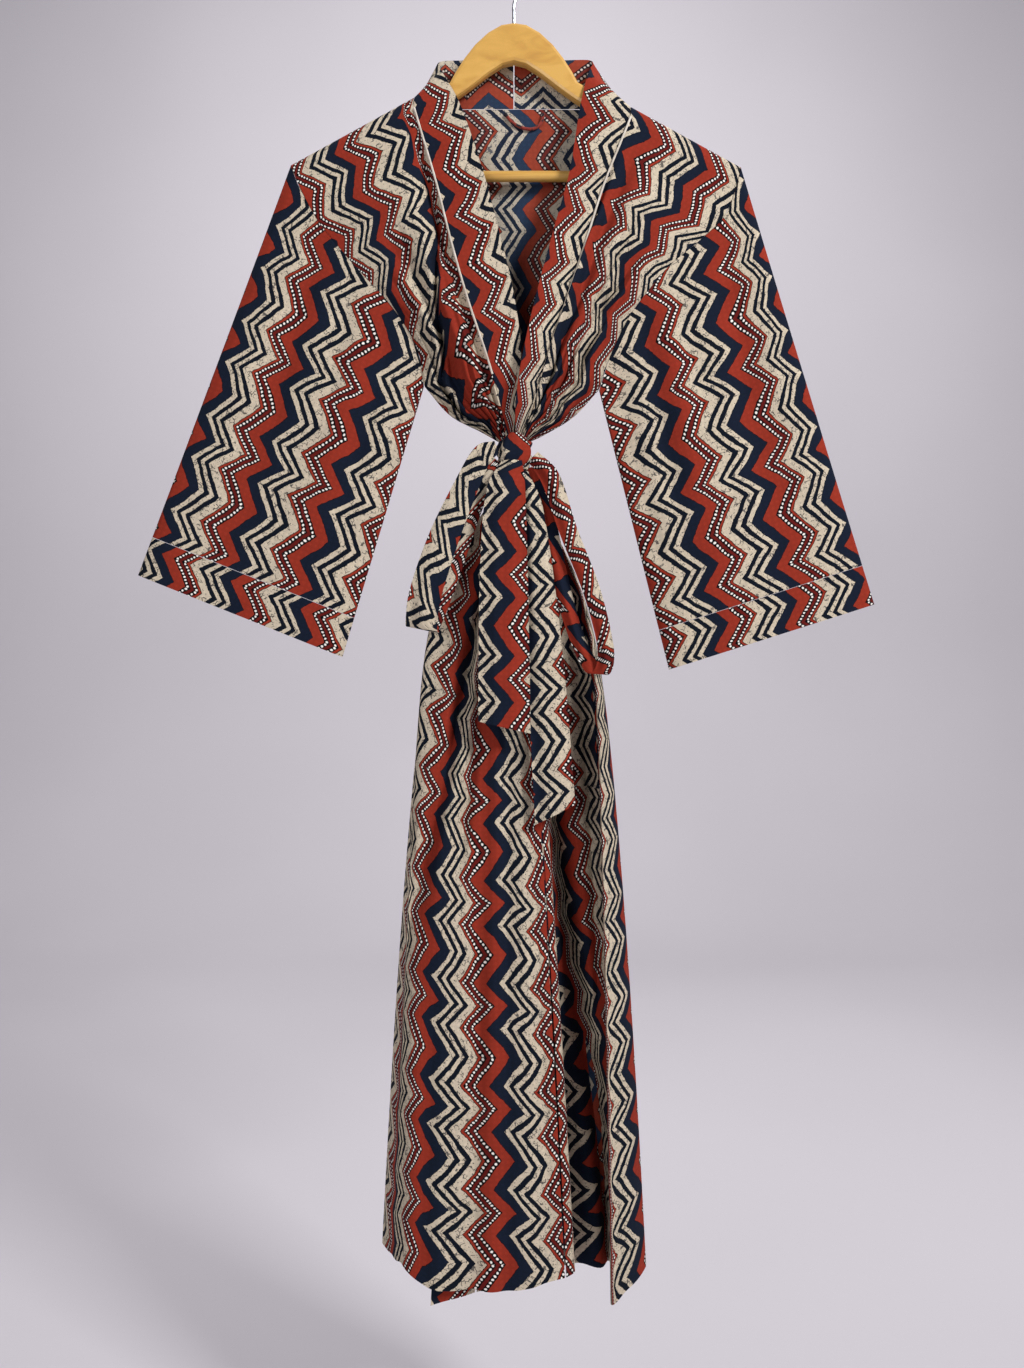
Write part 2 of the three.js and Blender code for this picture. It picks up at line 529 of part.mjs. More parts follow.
// Belt round the gathered waist: an upright strip in a ring, its section an oval.
function beltWrap(name) {
  const net = [...Array(6).keys()].map((i) => {
    const z = -506 - i * 5.8;
    return [...Array(24).keys()].map((j) => {
      const a = j / 24 * Math.PI * 2;
      const ridge = 1.1 * Math.cos(i * Math.PI * 0.7 + a);
      return new THREE.Vector3((17.2 + ridge) * Math.cos(a), -1 + (19 + ridge) * Math.sin(a), z);
    });
  });
  return clothWall(name, net, true);
}

// Knot: a flattened bundle in front of the wrap, its two faces puckered.
function beltKnot(name) {
  const rings = steps(8).map((v) => {
    const size = Math.sin(Math.PI * (0.06 + 0.88 * v)) ** 0.6;
    return [...Array(16).keys()].map((j) => {
      const a = j / 16 * Math.PI * 2;
      const pucker = 1 + 0.07 * Math.sin(3 * a + 5 * v);
      return new THREE.Vector3(15 * size * pucker * Math.cos(a) + 1, -30.3 + 8 * size * pucker * Math.sin(a),
        -502 - 38 * v);
    });
  });
  return clothWall(name, rings, true);
}

// Bow loop: a flat strip that runs down in front, turns under and comes back up behind.
function bowLoop(name, table) {
  const last = table.length - 1;
  const net = steps(LOOP_STEPS * last).map((t) => {
    const v = t * last;
    const middle = new THREE.Vector3(along(table, 'x', v), along(table, 'y', v), along(table, 'z', v));
    const a = THREE.MathUtils.degToRad(along(table, 'a', v));
    const across = new THREE.Vector3(Math.cos(a), 0, Math.sin(a)).multiplyScalar(along(table, 'w', v));
    return steps(3).map((u) => {
      const p = middle.clone().addScaledVector(across, u - 0.5);
      p.y += 1.6 * Math.cos(Math.PI * 2 * u);
      return p;
    });
  });
  return clothWall(name, net);
}

// Hanging tail of the belt, from under the knot.
function beltTail(name, rows) {
  const net = steps(14).map((v) => steps(5).map((u) => {
    const half = along(rows, 'w', v) / 2;
    const slant = along(rows, 'slant', v) * (u - 0.5);
    return new THREE.Vector3(along(rows, 'x', v) + (2 * u - 1) * half,
      along(rows, 'y', v) + 2.2 * Math.cos(2 * Math.PI * u), along(rows, 'z', v) + slant);
  }));
  return clothWall(name, net);
}

// Closed body of a mesh for cutting, its doubled points joined.
function toManifold(source) {
  const { position } = source.geometry.attributes;
  const index = source.geometry.index ? [...source.geometry.index.array] : [...Array(position.count).keys()];
  const known = new Map();
  const points = [];
  const at = index.map((i) => {
    const p = [position.getX(i), position.getY(i), position.getZ(i)];
    const key = p.map((v) => v.toFixed(4)).join();
    if (!known.has(key)) {
      known.set(key, points.length / 3);
      points.push(...p);
    }
    return known.get(key);
  });
  const triangles = [];
  for (let i = 0; i < at.length; i += 3) {
    const [a, b, c] = at.slice(i, i + 3);
    if (a !== b && b !== c && c !== a) triangles.push(a, b, c);
  }
  return new solids.Manifold(new solids.Mesh({
    numProp: 3, vertProperties: new Float32Array(points), triVerts: new Uint32Array(triangles),
  }));
}

// The first mesh with the others cut out of it.
function cut(source, tools) {
  const body = tools.reduce((rest, tool) => rest.subtract(toManifold(tool)), toManifold(source)).getMesh();
  const geometry = new THREE.BufferGeometry();
  geometry.setAttribute('position', new THREE.Float32BufferAttribute([...body.vertProperties], 3));
  geometry.setIndex([...body.triVerts]);
  geometry.computeVertexNormals();
  const result = new THREE.Mesh(geometry, source.material);
  result.name = source.name;
  return result;
}

function hangerBlank(name) {
  const half = HANGER_SPAN / 2;
  const outline = [
    [0, -75], [13, -77], [27, -85], [40, -97], [51, -111], [60, -125], [66, -136], [110, -160.2], [160, -187.7],
    [half - 10, -215.2], [half - 3, -222], [half, -230], [half - 4, -238], [half - 12, -241],
    [150, -207], [100, -178], [62, -154], [44, -141], [26, -127], [12, -118], [0, -115],
  ];
  const mirrored = outline.slice(1, -1).reverse().map(([x, z]) => [-x, z]);
  const inset = 3.6;
  const shape = new THREE.Shape([...outline, ...mirrored].map(([x, z]) => new THREE.Vector2(x, z)));
  const depth = HANGER_DEPTH - 2 * inset;
  const geometry = new THREE.ExtrudeGeometry(shape, {
    depth, bevelEnabled: true, bevelThickness: inset, bevelSize: inset, bevelOffset: -inset, bevelSegments: 2,
  });
  geometry.translate(0, 0, -depth / 2);
  geometry.rotateX(Math.PI / 2);
  const result = new THREE.Mesh(geometry, new THREE.MeshStandardMaterial(WOOD));
  result.name = name;
  return result;
}

function barRod(name, half, radius) {
  const path = [-half, 0, half].map((x) => new THREE.Vector3(x, 0, BAR_Z));
  return rod(name, path, radius, WOOD, 2, 20);
}

// Wood with a socket at each end of the bar and a hole for the wire.
function hangerBody(name) {
  const wire = [-96, -70].map((z) => new THREE.Vector3(0, 0, z));
  return cut(hangerBlank(name), [
    barRod('socket', BAR_HALF + 0.4, BAR_RADIUS + 0.3),
    rod('hole', wire, WIRE_RADIUS + 0.3, STEEL, 1, 16),
  ]);
}

function hangerHook(name) {
  const cz = WIRE_RADIUS - HOOK_RADIUS;
  const path = [[0, -95], [0, -64], [0, -54], [3, -46], [11, cz - 17.5]].map(([x, z]) => new THREE.Vector3(x, 0, z));
  for (let a = -40; a <= 190; a += 23) {
    const angle = THREE.MathUtils.degToRad(a);
    path.push(new THREE.Vector3(HOOK_RADIUS * Math.cos(angle), 0, cz + HOOK_RADIUS * Math.sin(angle)));
  }
  return rod(name, path, WIRE_RADIUS, STEEL, 32, 8);
}

const robe = new THREE.Group();
robe.name = 'kimono_robe';
robe.add(
  backPanel('back'),
  frontPanel('front_left', true),
  frontPanel('front_right', false),
  sleeve('sleeve_left', true),
  sleeve('sleeve_right', false),
  cuff('cuff_left', true),
  cuff('cuff_right', false),
  frontBand('collar_left', true),
  frontBand('collar_right', false),
  piping('piping_left', true),
  piping('piping_right', false),
  neckLoop('neck_loop'),
  pocket('pocket'),
  beltWrap('belt_wrap'),
  beltKnot('belt_knot'),
  bowLoop('bow_left', LOOP_LEFT),
  bowLoop('bow_right', LOOP_RIGHT),
  beltTail('tail_front', TAIL_FRONT),
  beltTail('tail_rear', TAIL_REAR),
  hangerBody('hanger_body'),
  barRod('hanger_bar', BAR_HALF, BAR_RADIUS),
  hangerHook('hanger_hook'),
);
export default robe;
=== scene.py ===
import math

import bpy
import numpy as np
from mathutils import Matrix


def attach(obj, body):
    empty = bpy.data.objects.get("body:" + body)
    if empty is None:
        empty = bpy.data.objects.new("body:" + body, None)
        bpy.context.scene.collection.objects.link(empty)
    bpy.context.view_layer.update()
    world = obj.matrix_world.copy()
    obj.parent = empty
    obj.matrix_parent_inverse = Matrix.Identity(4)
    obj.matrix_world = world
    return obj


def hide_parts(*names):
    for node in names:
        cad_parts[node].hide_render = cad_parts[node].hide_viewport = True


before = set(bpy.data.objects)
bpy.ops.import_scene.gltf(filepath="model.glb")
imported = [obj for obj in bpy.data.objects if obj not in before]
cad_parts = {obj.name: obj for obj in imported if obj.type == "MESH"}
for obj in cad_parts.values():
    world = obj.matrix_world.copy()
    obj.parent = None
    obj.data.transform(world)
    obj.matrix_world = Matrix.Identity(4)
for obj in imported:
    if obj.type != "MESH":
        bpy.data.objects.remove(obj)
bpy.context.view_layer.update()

# Hanger: one flat wishbone of pale hardwood, sawn, sanded and clear varnished, with a round
# bar let into both arms. The varnish gives a soft gloss over warm, close, lengthwise grain.
WOOD_PALE = "#DFAE58"
WOOD_WARM = "#CF9A45"
WOOD_VEIN = "#B47A34"
GRAIN_MM = 2.6                # width of one band of grain


def linear(code):
    """sRGB hex to linear red, green, blue and alpha."""
    parts = [int(code[i:i + 2], 16) / 255 for i in (1, 3, 5)]
    return [p / 12.92 if p <= 0.04045 else ((p + 0.055) / 1.055) ** 2.4 for p in parts] + [1.0]


def add(tree, kind, inputs=None, **settings):
    """A node with its settings, and its inputs set to a value or linked to a socket."""
    node = tree.nodes.new(kind)
    for name, value in settings.items():
        setattr(node, name, value)
    for name, value in (inputs or {}).items():
        if isinstance(value, bpy.types.NodeSocket):
            tree.links.new(value, node.inputs[name])
        else:
            node.inputs[name].default_value = value
    return node


def new_material(name, **shader):
    """A material with a principled shader; its plain numbers are set on the shader's own sockets."""
    material = bpy.data.materials.new(name)
    material.use_nodes = True
    tree = material.node_tree
    tree.nodes.clear()
    surface = add(tree, "ShaderNodeBsdfPrincipled", {k.replace("_", " "): v for k, v in shader.items()})
    add(tree, "ShaderNodeOutputMaterial", {"Surface": surface.outputs[0]})
    return material, tree, surface


def set_ramp(node, stops, interpolation="LINEAR"):
    """Colour stops of a ramp, as (place, colour)."""
    ramp = node.color_ramp
    ramp.interpolation = interpolation
    while len(ramp.elements) > 1:
        ramp.elements.remove(ramp.elements[-1])
    ramp.elements[0].position = stops[0][0]
    ramp.elements[0].color = stops[0][1]
    for place, colour in stops[1:]:
        ramp.elements.new(place).color = colour


def varnished_wood(name, stretch):
    """Bands of grain drawn out along the wood, fine pores, and a clear coat over both."""
    material, tree, surface = new_material(name, Roughness=0.42, Coat_Weight=0.4, Coat_Roughness=0.2)
    place = add(tree, "ShaderNodeTexCoord").outputs["Object"]
    drawn = add(tree, "ShaderNodeMapping", {"Vector": place, "Scale": stretch}).outputs[0]
    bands = add(tree, "ShaderNodeTexNoise", {
        "Vector": drawn, "Scale": 500 / GRAIN_MM, "Detail": 4.0, "Distortion": 0.7})
    pores = add(tree, "ShaderNodeTexNoise", {"Vector": drawn, "Scale": 2400.0, "Detail": 2.0})
    patch = add(tree, "ShaderNodeTexNoise", {"Vector": place, "Scale": 16.0})
    grain = add(tree, "ShaderNodeValToRGB", {0: bands.outputs[0]})
    set_ramp(grain, [(0.28, linear(WOOD_VEIN)), (0.44, linear(WOOD_WARM)), (0.6, linear(WOOD_PALE))])
    calm = add(tree, "ShaderNodeMix", {
        0: patch.outputs[0], 6: grain.outputs[0], 7: linear(WOOD_PALE)}, data_type="RGBA")
    bump = add(tree, "ShaderNodeBump", {"Strength": 0.1, "Distance": 0.0003, "Height": pores.outputs[0]})
    tree.links.new(calm.outputs[2], surface.inputs["Base Color"])
    tree.links.new(bump.outputs[0], surface.inputs["Normal"])
    return material


def dress(node, material):
    """Give a carried-over node its material."""
    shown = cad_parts[node]
    shown.data.materials.clear()
    shown.data.materials.append(material)


dress("hanger_body", varnished_wood("varnished_hardwood_arms", (0.16, 1.0, 0.35)))
dress("hanger_bar", varnished_wood("varnished_hardwood_bar", (0.05, 1.0, 1.0)))

# Hook: one bent steel wire, drawn and zinc plated, pushed into the top of the hanger. The
# plating is bright, with faint lines from drawing that run round in the blurred reflections.
steel, tree, surface = new_material(
    "zinc_plated_steel_wire", Metallic=1.0, Roughness=0.28, Base_Color=linear("#B9BCC2"))
place = add(tree, "ShaderNodeTexCoord").outputs["Object"]
dull = add(tree, "ShaderNodeTexNoise", {"Vector": place, "Scale": 900.0, "Detail": 3.0})
rough = add(tree, "ShaderNodeMapRange", {0: dull.outputs[0], 3: 0.22, 4: 0.4})
tree.links.new(rough.outputs[0], surface.inputs["Roughness"])
dress("hanger_hook", steel)

# Printed cotton of the whole robe: a light plain weave, hand block printed in rows of zigzag
# that run lengthwise. It is matt and dry, with uneven printed edges, pin dots left white in
# the black lines, blue-black crackle on the ecru bands, and a paler print on its reverse.
REPEAT = 72.8                 # mm across one set of stripes
ZIGZAG = 51.5                 # mm along from one point to the next
SWING = 20.5                  # mm across from the left points to the right points
DOT_STEP = 3.7                # mm between two white dots
DOT = 1.1                     # mm, radius of a dot
THREAD = 0.9                  # mm, drawn coarser than the real 0.35 so that the weave shows
FACE = {"navy": "#141C2C", "line": "#0D141F", "ecru": "#CCBEA8", "red": "#923122",
        "track": "#0B0709", "maroon": "#641B17", "dot": "#F2EDE6", "outline": "#1A0A0C"}
REVERSE = {"navy": "#2A3950", "line": "#20293A", "ecru": "#BFB5A4", "red": "#96402F",
           "track": "#2A1E22", "maroon": "#6E2E29", "dot": "#D5CCC4", "outline": "#3A2122"}
STRIPES = (
    (0.0, "navy"), (11.2, "line"), (11.9, "ecru"), (17.2, "line"), (22.4, "ecru"), (27.2, "line"),
    (32.6, "ecru"), (42.2, "outline"), (43.0, "red"), (45.7, "track"), (51.0, "maroon"),
    (54.5, "track"), (59.8, "red"), (72.0, "outline"),
)
TRACKS = (48.35, 57.15)


def printed_cotton(name, dyes):
    """Block print on plain weave. The print is placed by the piece's own map of its flat cloth."""
    material, tree, surface = new_material(name, Roughness=0.92, Specular_IOR_Level=0.12)
    sums = "ShaderNodeMath"
    cloth_map = add(tree, "ShaderNodeUVMap", uv_map="flat_cloth").outputs[0]
    in_mm = add(tree, "ShaderNodeVectorMath", {0: cloth_map, 3: 1000.0}, operation="SCALE").outputs[0]
    apart = add(tree, "ShaderNodeSeparateXYZ", {0: in_mm})

    # the hand printer's edge: a slow drift and a quick ragged one
    slow = add(tree, "ShaderNodeTexNoise", {"Vector": cloth_map, "Scale": 55.0, "Detail": 1.0}).outputs[0]
    quick = add(tree, "ShaderNodeTexNoise", {"Vector": cloth_map, "Scale": 330.0, "Detail": 2.0}).outputs[0]
    drift = add(tree, sums, {0: slow, 1: 4.2, 2: -2.1 - SWING / 2}, operation="MULTIPLY_ADD").outputs[0]
    waver = add(tree, sums, {0: quick, 1: 1.8, 2: drift}, operation="MULTIPLY_ADD").outputs[0]
    waver = add(tree, sums, {0: waver, 1: -0.9}, operation="ADD").outputs[0]

    # the zigzag: long and short teeth by turns, then the stripe that each place falls in
    turns = add(tree, sums, {0: apart.outputs[1], 1: math.pi / ZIGZAG}, operation="MULTIPLY").outputs[0]
    uneven = add(tree, sums, {0: turns}, operation="SINE").outputs[0]
    run = add(tree, sums, {0: uneven, 1: 3.0, 2: apart.outputs[1]}, operation="MULTIPLY_ADD").outputs[0]
    tooth = add(tree, sums, {0: run, 1: ZIGZAG / 2}, operation="PINGPONG").outputs[0]
    placed = add(tree, sums, {0: tooth, 1: 2 * SWING / ZIGZAG, 2: waver}, operation="MULTIPLY_ADD").outputs[0]
    placed = add(tree, sums, {0: placed, 1: apart.outputs[0]}, operation="ADD").outputs[0]
    phase = add(tree, sums, {0: placed, 1: REPEAT}, operation="FLOORED_MODULO").outputs[0]
    share = add(tree, sums, {0: phase, 1: REPEAT}, operation="DIVIDE").outputs[0]
    stripes = add(tree, "ShaderNodeValToRGB", {0: share})
    set_ramp(stripes, [(at / REPEAT, linear(dyes[dye])) for at, dye in STRIPES], "CONSTANT")
    colour = stripes.outputs[0]

    # white dots along the two black lines, stepped off along each slope of the zigzag
    slope = 2 * SWING / ZIGZAG
    steep = math.sqrt(1 + slope * slope)
    beat = add(tree, sums, {0: run, 1: ZIGZAG}, operation="FLOORED_MODULO").outputs[0]
    falling = add(tree, sums, {0: beat, 1: ZIGZAG / 2}, operation="GREATER_THAN").outputs[0]
    lean = add(tree, sums, {0: falling, 1: 2 * slope / steep, 2: -slope / steep},
               operation="MULTIPLY_ADD").outputs[0]
    size = add(tree, sums, {0: quick, 1: 0.8, 2: DOT - 0.4}, operation="MULTIPLY_ADD").outputs[0]
    for line in TRACKS:
        off = add(tree, sums, {0: phase, 1: line}, operation="SUBTRACT").outputs[0]
        leaned = add(tree, sums, {0: off, 1: lean}, operation="MULTIPLY").outputs[0]
        walked = add(tree, sums, {0: run, 1: steep, 2: leaned}, operation="MULTIPLY_ADD").outputs[0]
        beat = add(tree, sums, {0: walked, 1: DOT_STEP}, operation="FLOORED_MODULO").outputs[0]
        step = add(tree, sums, {0: beat, 1: DOT_STEP / 2}, operation="SUBTRACT").outputs[0]
        aside = add(tree, sums, {0: off, 1: steep}, operation="DIVIDE").outputs[0]
        place = add(tree, "ShaderNodeCombineXYZ", {0: step, 1: aside})
        reach = add(tree, "ShaderNodeVectorMath", {0: place.outputs[0]}, operation="LENGTH").outputs[1]
        edge = add(tree, sums, {0: reach, 1: size}, operation="SUBTRACT").outputs[0]
        dot = add(tree, "ShaderNodeMapRange", {0: edge, 1: -0.2, 2: 0.2, 3: 1.0, 4: 0.0}).outputs[0]
        colour = add(tree, "ShaderNodeMix", {0: dot, 6: colour, 7: linear(dyes["dot"])},
                     data_type="RGBA").outputs[2]

    # crackle: short blue-black cracks and specks, only where the cloth was left ecru
    pale = add(tree, "ShaderNodeSeparateColor", {0: stripes.outputs[0]})
    bare = add(tree, sums, {0: pale.outputs[1], 1: 0.3}, operation="GREATER_THAN").outputs[0]
    cells = add(tree, "ShaderNodeTexVoronoi", {"Vector": cloth_map, "Scale": 250.0},
                feature="DISTANCE_TO_EDGE").outputs[0]
    where = add(tree, "ShaderNodeTexNoise", {"Vector": cloth_map, "Scale": 150.0, "Detail": 2.0}).outputs[0]
    narrow = add(tree, sums, {0: cells, 1: 0.07}, operation="LESS_THAN").outputs[0]
    here = add(tree, sums, {0: where, 1: 0.545}, operation="GREATER_THAN").outputs[0]
    crack = add(tree, sums, {0: narrow, 1: here}, operation="MULTIPLY").outputs[0]
    fleck = add(tree, "ShaderNodeTexNoise", {"Vector": cloth_map, "Scale": 620.0, "Detail": 1.0}).outputs[0]
    speck = add(tree, sums, {0: fleck, 1: 0.665}, operation="GREATER_THAN").outputs[0]
    marks = add(tree, sums, {0: crack, 1: speck}, operation="MAXIMUM").outputs[0]
    kept = add(tree, sums, {0: bare, 1: 0.8}, operation="MULTIPLY").outputs[0]
    stain = add(tree, sums, {0: marks, 1: kept}, operation="MULTIPLY").outputs[0]
    inked = add(tree, "ShaderNodeMix", {0: stain, 6: colour, 7: linear(dyes["navy"])},
                data_type="RGBA").outputs[2]

    # dye taken up unevenly, and the light and dark of the threads
    cloud = add(tree, "ShaderNodeTexNoise", {"Vector": cloth_map, "Scale": 34.0, "Detail": 3.0}).outputs[0]
    warp, weft = (
        add(tree, "ShaderNodeTexWave", {"Vector": cloth_map, "Scale": 1000 / THREAD / 20, "Distortion": 0.6,
            "Detail": 1.0, "Detail Scale": 2.0}, bands_direction=way).outputs["Fac"] for way in "XY")
    weave = add(tree, sums, {0: warp, 1: weft}, operation="MULTIPLY").outputs[0]
    uptake = add(tree, sums, {0: cloud, 1: 0.34, 2: 0.78}, operation="MULTIPLY_ADD").outputs[0]
    shade = add(tree, sums, {0: weave, 1: 0.14, 2: uptake}, operation="MULTIPLY_ADD").outputs[0]
    tone = add(tree, "ShaderNodeMix", {0: 1.0, 6: inked, 7: shade}, data_type="RGBA", blend_type="MULTIPLY")
    bump = add(tree, "ShaderNodeBump", {"Strength": 0.25, "Distance": 0.0003, "Height": weave})
    tree.links.new(tone.outputs[2], surface.inputs["Base Color"])
    tree.links.new(bump.outputs[0], surface.inputs["Normal"])
    return material


cotton_face = printed_cotton("block_printed_cotton_face", FACE)
cotton_reverse = printed_cotton("block_printed_cotton_reverse", REVERSE)

# Back: one length of cotton over both arms of the hanger and below the collar seam, down
# through the belt to the hem. Its print shows the other way round inside the neck.
WALL = 0.7                    # mm, cloth with its turned edges
SEAM = 0.45                   # mm, the line left between two sewn pieces
WAIST_LOW = -537.0            # lower edge of the belt, where the skirt starts to spread
UNDERARM_V = 0.85             # where the armhole ends and the side seam starts
NECK_V = 0.265                # where the collar seam crosses the shoulder
NECK_LEFT = -102.0
NECK_RIGHT = 119.0
# v, x, half of the depth, z: the armhole seam, then the side down to the belt
ARMHOLE_LEFT = (
    (0, -228, 9.2, -228.8),
    (0.22, -202, 11, -278),
    (0.34, -182, 12, -304),
    (0.46, -159, 12, -331),
    (0.58, -133, 12, -359),
    (0.7, -111, 10, -388),
    (0.79, -97, 6, -417),
    (0.85, -93, 2.5, -446),
)
ARMHOLE_RIGHT = (
    (0, 232, 9.2, -231),
    (0.22, 215, 11, -276),
    (0.34, 190, 12, -301),
    (0.46, 161, 12, -325),
    (0.58, 139, 12, -350),
    (0.7, 117, 10, -380),
    (0.79, 99, 6, -417),
    (0.85, 88, 2.5, -450),
)
SIDE_LEFT = (
    (0.85, -93, 2.5, -446),
    (0.9, -66, 0.75, -477),
    (0.95, -34, 0.75, -494),
    (1, -14.5, 0.75, -505),
)
SIDE_RIGHT = (
    (0.85, 88, 2.5, -450),
    (0.9, 62, 0.75, -478),
    (0.95, 33, 0.75, -496),
    (1, 14.5, 0.75, -505),
)
# v, sewn edge x y z, free edge x y z, from the back neck to the belt
COLLAR_LEFT = (
    (0, -0.5, 13, -155, -0.5, 16, -103),
    (0.1, -44, 13, -155, -40, 16, -103),
    (0.18, -80, 11, -157, -72, 15, -104),
    (0.24, -100, 7.5, -157, -79, 9, -110),
    (0.265, -102, 0, -153, -76, 3, -118),
    (0.29, -102.5, -9.5, -162, -72, -6, -129),
    (0.35, -97, -13, -182, -56, -12, -160),
    (0.5, -78, -20, -248, -32, -20, -232),
    (0.63, -62, -26, -312, -15, -26, -297),
    (0.74, -46, -30, -368, -1, -31, -358),
    (0.85, -27, -31, -425, 7, -31, -418),
    (0.93, -15, -26, -466, 3, -26, -462),
    (1, -6.4, -13, -505, -1.1, -13, -505),
)
COLLAR_RIGHT = (
    (0, 0.5, 13, -155, 0.5, 16, -103),
    (0.1, 48, 13, -155, 44, 16, -103),
    (0.18, 92, 11, -157, 77, 15, -103),
    (0.24, 116.5, 7.5, -165, 82, 9, -110),
    (0.265, 119, 0, -162, 79, 3, -118),
    (0.29, 120, -9.5, -171, 75, -6, -131),
    (0.35, 113, -13, -191, 68, -12, -162),
    (0.5, 91, -21, -248, 56, -22, -236),
    (0.63, 71, -29, -312, 38, -32, -304),
    (0.74, 52, -36, -370, 22, -40, -366),
    (0.85, 35, -39, -421, 9, -44, -424),
    (0.93, 21, -34, -466, 2, -38, -468),
    (1, 7, -15, -505, 1.4, -17, -505),
)
# u, place in the belt x y, place at the hem x y z, how soon it spreads
SKIRT_BACK = (
    (0, -14.5, 2.2, -139.5, 43.2, -1352, 0.34),
    (0.1, -13, 6.5, -121, 66, -1354, 0.34),
    (0.2, -10, 10.5, -93, 47, -1356, 0.4),
    (0.31, -7, 12.3, -64, 70, -1357, 0.4),
    (0.42, -3.5, 13, -32, 46, -1358, 0.4),
    (0.53, 0, 13.4, 1, 72, -1358, 0.4),
    (0.64, 4, 13, 34, 48, -1358, 0.4),
    (0.75, 7.5, 12.3, 64, 69, -1358, 0.4),
    (0.86, 10.5, 10.5, 92, 47, -1358, 0.4),
    (0.94, 13, 6.5, 116, 61, -1358, 0.34),
    (1, 14.5, 2.2, 128.5, 40.4, -1358, 0.34),
)


def along(table, v):
    """Columns of a table at v, as smooth curves through its rows."""
    rows = np.asarray(table, float)
    key = rows[:, 0]
    v = np.asarray(v, float)
    i = np.clip(np.searchsorted(key, v, side="left") - 1, 0, len(key) - 2)
    a, b = rows[i], rows[i + 1]
    before, after = rows[np.maximum(i - 1, 0)], rows[np.minimum(i + 2, len(key) - 1)]
    span = (b[..., :1] - a[..., :1])
    t = np.clip((v[..., None] - a[..., :1]) / span, 0, 1)
    slope_a = (b - before) / (b[..., :1] - before[..., :1])
    slope_b = (after - a) / (after[..., :1] - a[..., :1])
    t2, t3 = t * t, t * t * t
    value = ((2 * t3 - 3 * t2 + 1) * a + (t3 - 2 * t2 + t) * span * slope_a
             + (3 * t2 - 2 * t3) * b + (t3 - t2) * span * slope_b)
    return value[..., 1:]


def smooth(a, b, v):
    t = np.clip((v - a) / (b - a), 0, 1)
    return t * t * (3 - 2 * t)


def point(x, y, z):
    return np.stack(np.broadcast_arrays(x, y, z), axis=-1).astype(float)


def blend_points(a, b, t):
    return a + (b - a) * np.asarray(t)[..., None]


def unit(vectors):
    return vectors / np.maximum(np.linalg.norm(vectors, axis=-1, keepdims=True), 1e-9)


def outer_edge(left, v, face):
    """Edge of a front or of the back along the armhole and the side, in from the seam."""
    v = np.asarray(v, float)
    armhole, side = (ARMHOLE_LEFT, SIDE_LEFT) if left else (ARMHOLE_RIGHT, SIDE_RIGHT)
    p = np.where(v[..., None] <= UNDERARM_V, along(armhole, v), along(side, v))
    inward = (1 if left else -1) * SEAM * 0.6 * (1 - smooth(0.9, 1, v))
    return point(p[..., 0] + inward, face * p[..., 1], p[..., 2])


def collar_edges(left, s):
    p = along(COLLAR_LEFT if left else COLLAR_RIGHT, s)
    return p[..., :3], p[..., 3:]


def beside_collar(left, s):
    """Edge of a panel along the collar seam."""
    seam, free = collar_edges(left, s)
    return seam + unit(seam - free) * SEAM


def hanger_top(x):
    a = np.abs(x)
    return np.where(a < 66, -75 - 61 * (a / 66) ** 2, -136 - (a - 66) * 0.55)


def over_arm(x, turn, face):
    """Cloth over the hanger's arm, turned from its top down its front or back face."""
    angle = np.asarray(turn) * math.pi / 2
    return point(x, face * (0.75 + 8.45 * np.sin(angle)),
                 hanger_top(x) + 4.5 - 8.5 * (1 - np.cos(angle)))


def skirt_point(table, u, t):
    """A skirt's point: u across by the table's folds, t down from the belt to the hem."""
    wx, wy, hx, hy, hz, p = np.moveaxis(along(table, u), -1, 0)
    t = np.asarray(t, float)
    opened = 1 - np.exp(-(np.maximum(t, 0) / 0.1) ** 1.5)
    spread = opened * np.maximum(t, 0) ** p
    return point(wx + (hx - wx) * spread, wy + (hy - wy) * opened * np.sqrt(np.maximum(t, 0)),
                 WAIST_LOW + (hz - WAIST_LOW) * t)


def folds(table, u, v):
    """Depth of soft troughs and ridges: u, depth, width, from, to and the lean of a slanting one."""
    depth = 0
    for at, deep, width, start, end, *lean in table:
        reach = smooth(start, start + 0.25, v) * (1 - smooth(end - 0.15, end, v))
        place = at + sum(lean) * (v - start)
        depth = depth + deep * reach * np.exp(-((u - place) / width) ** 2)
    return depth


def lengths(net):
    """How far each point lies down its own column."""
    step = np.linalg.norm(np.diff(net, axis=0), axis=-1)
    return np.concatenate([np.zeros((1, net.shape[1])), np.cumsum(step, axis=0)])


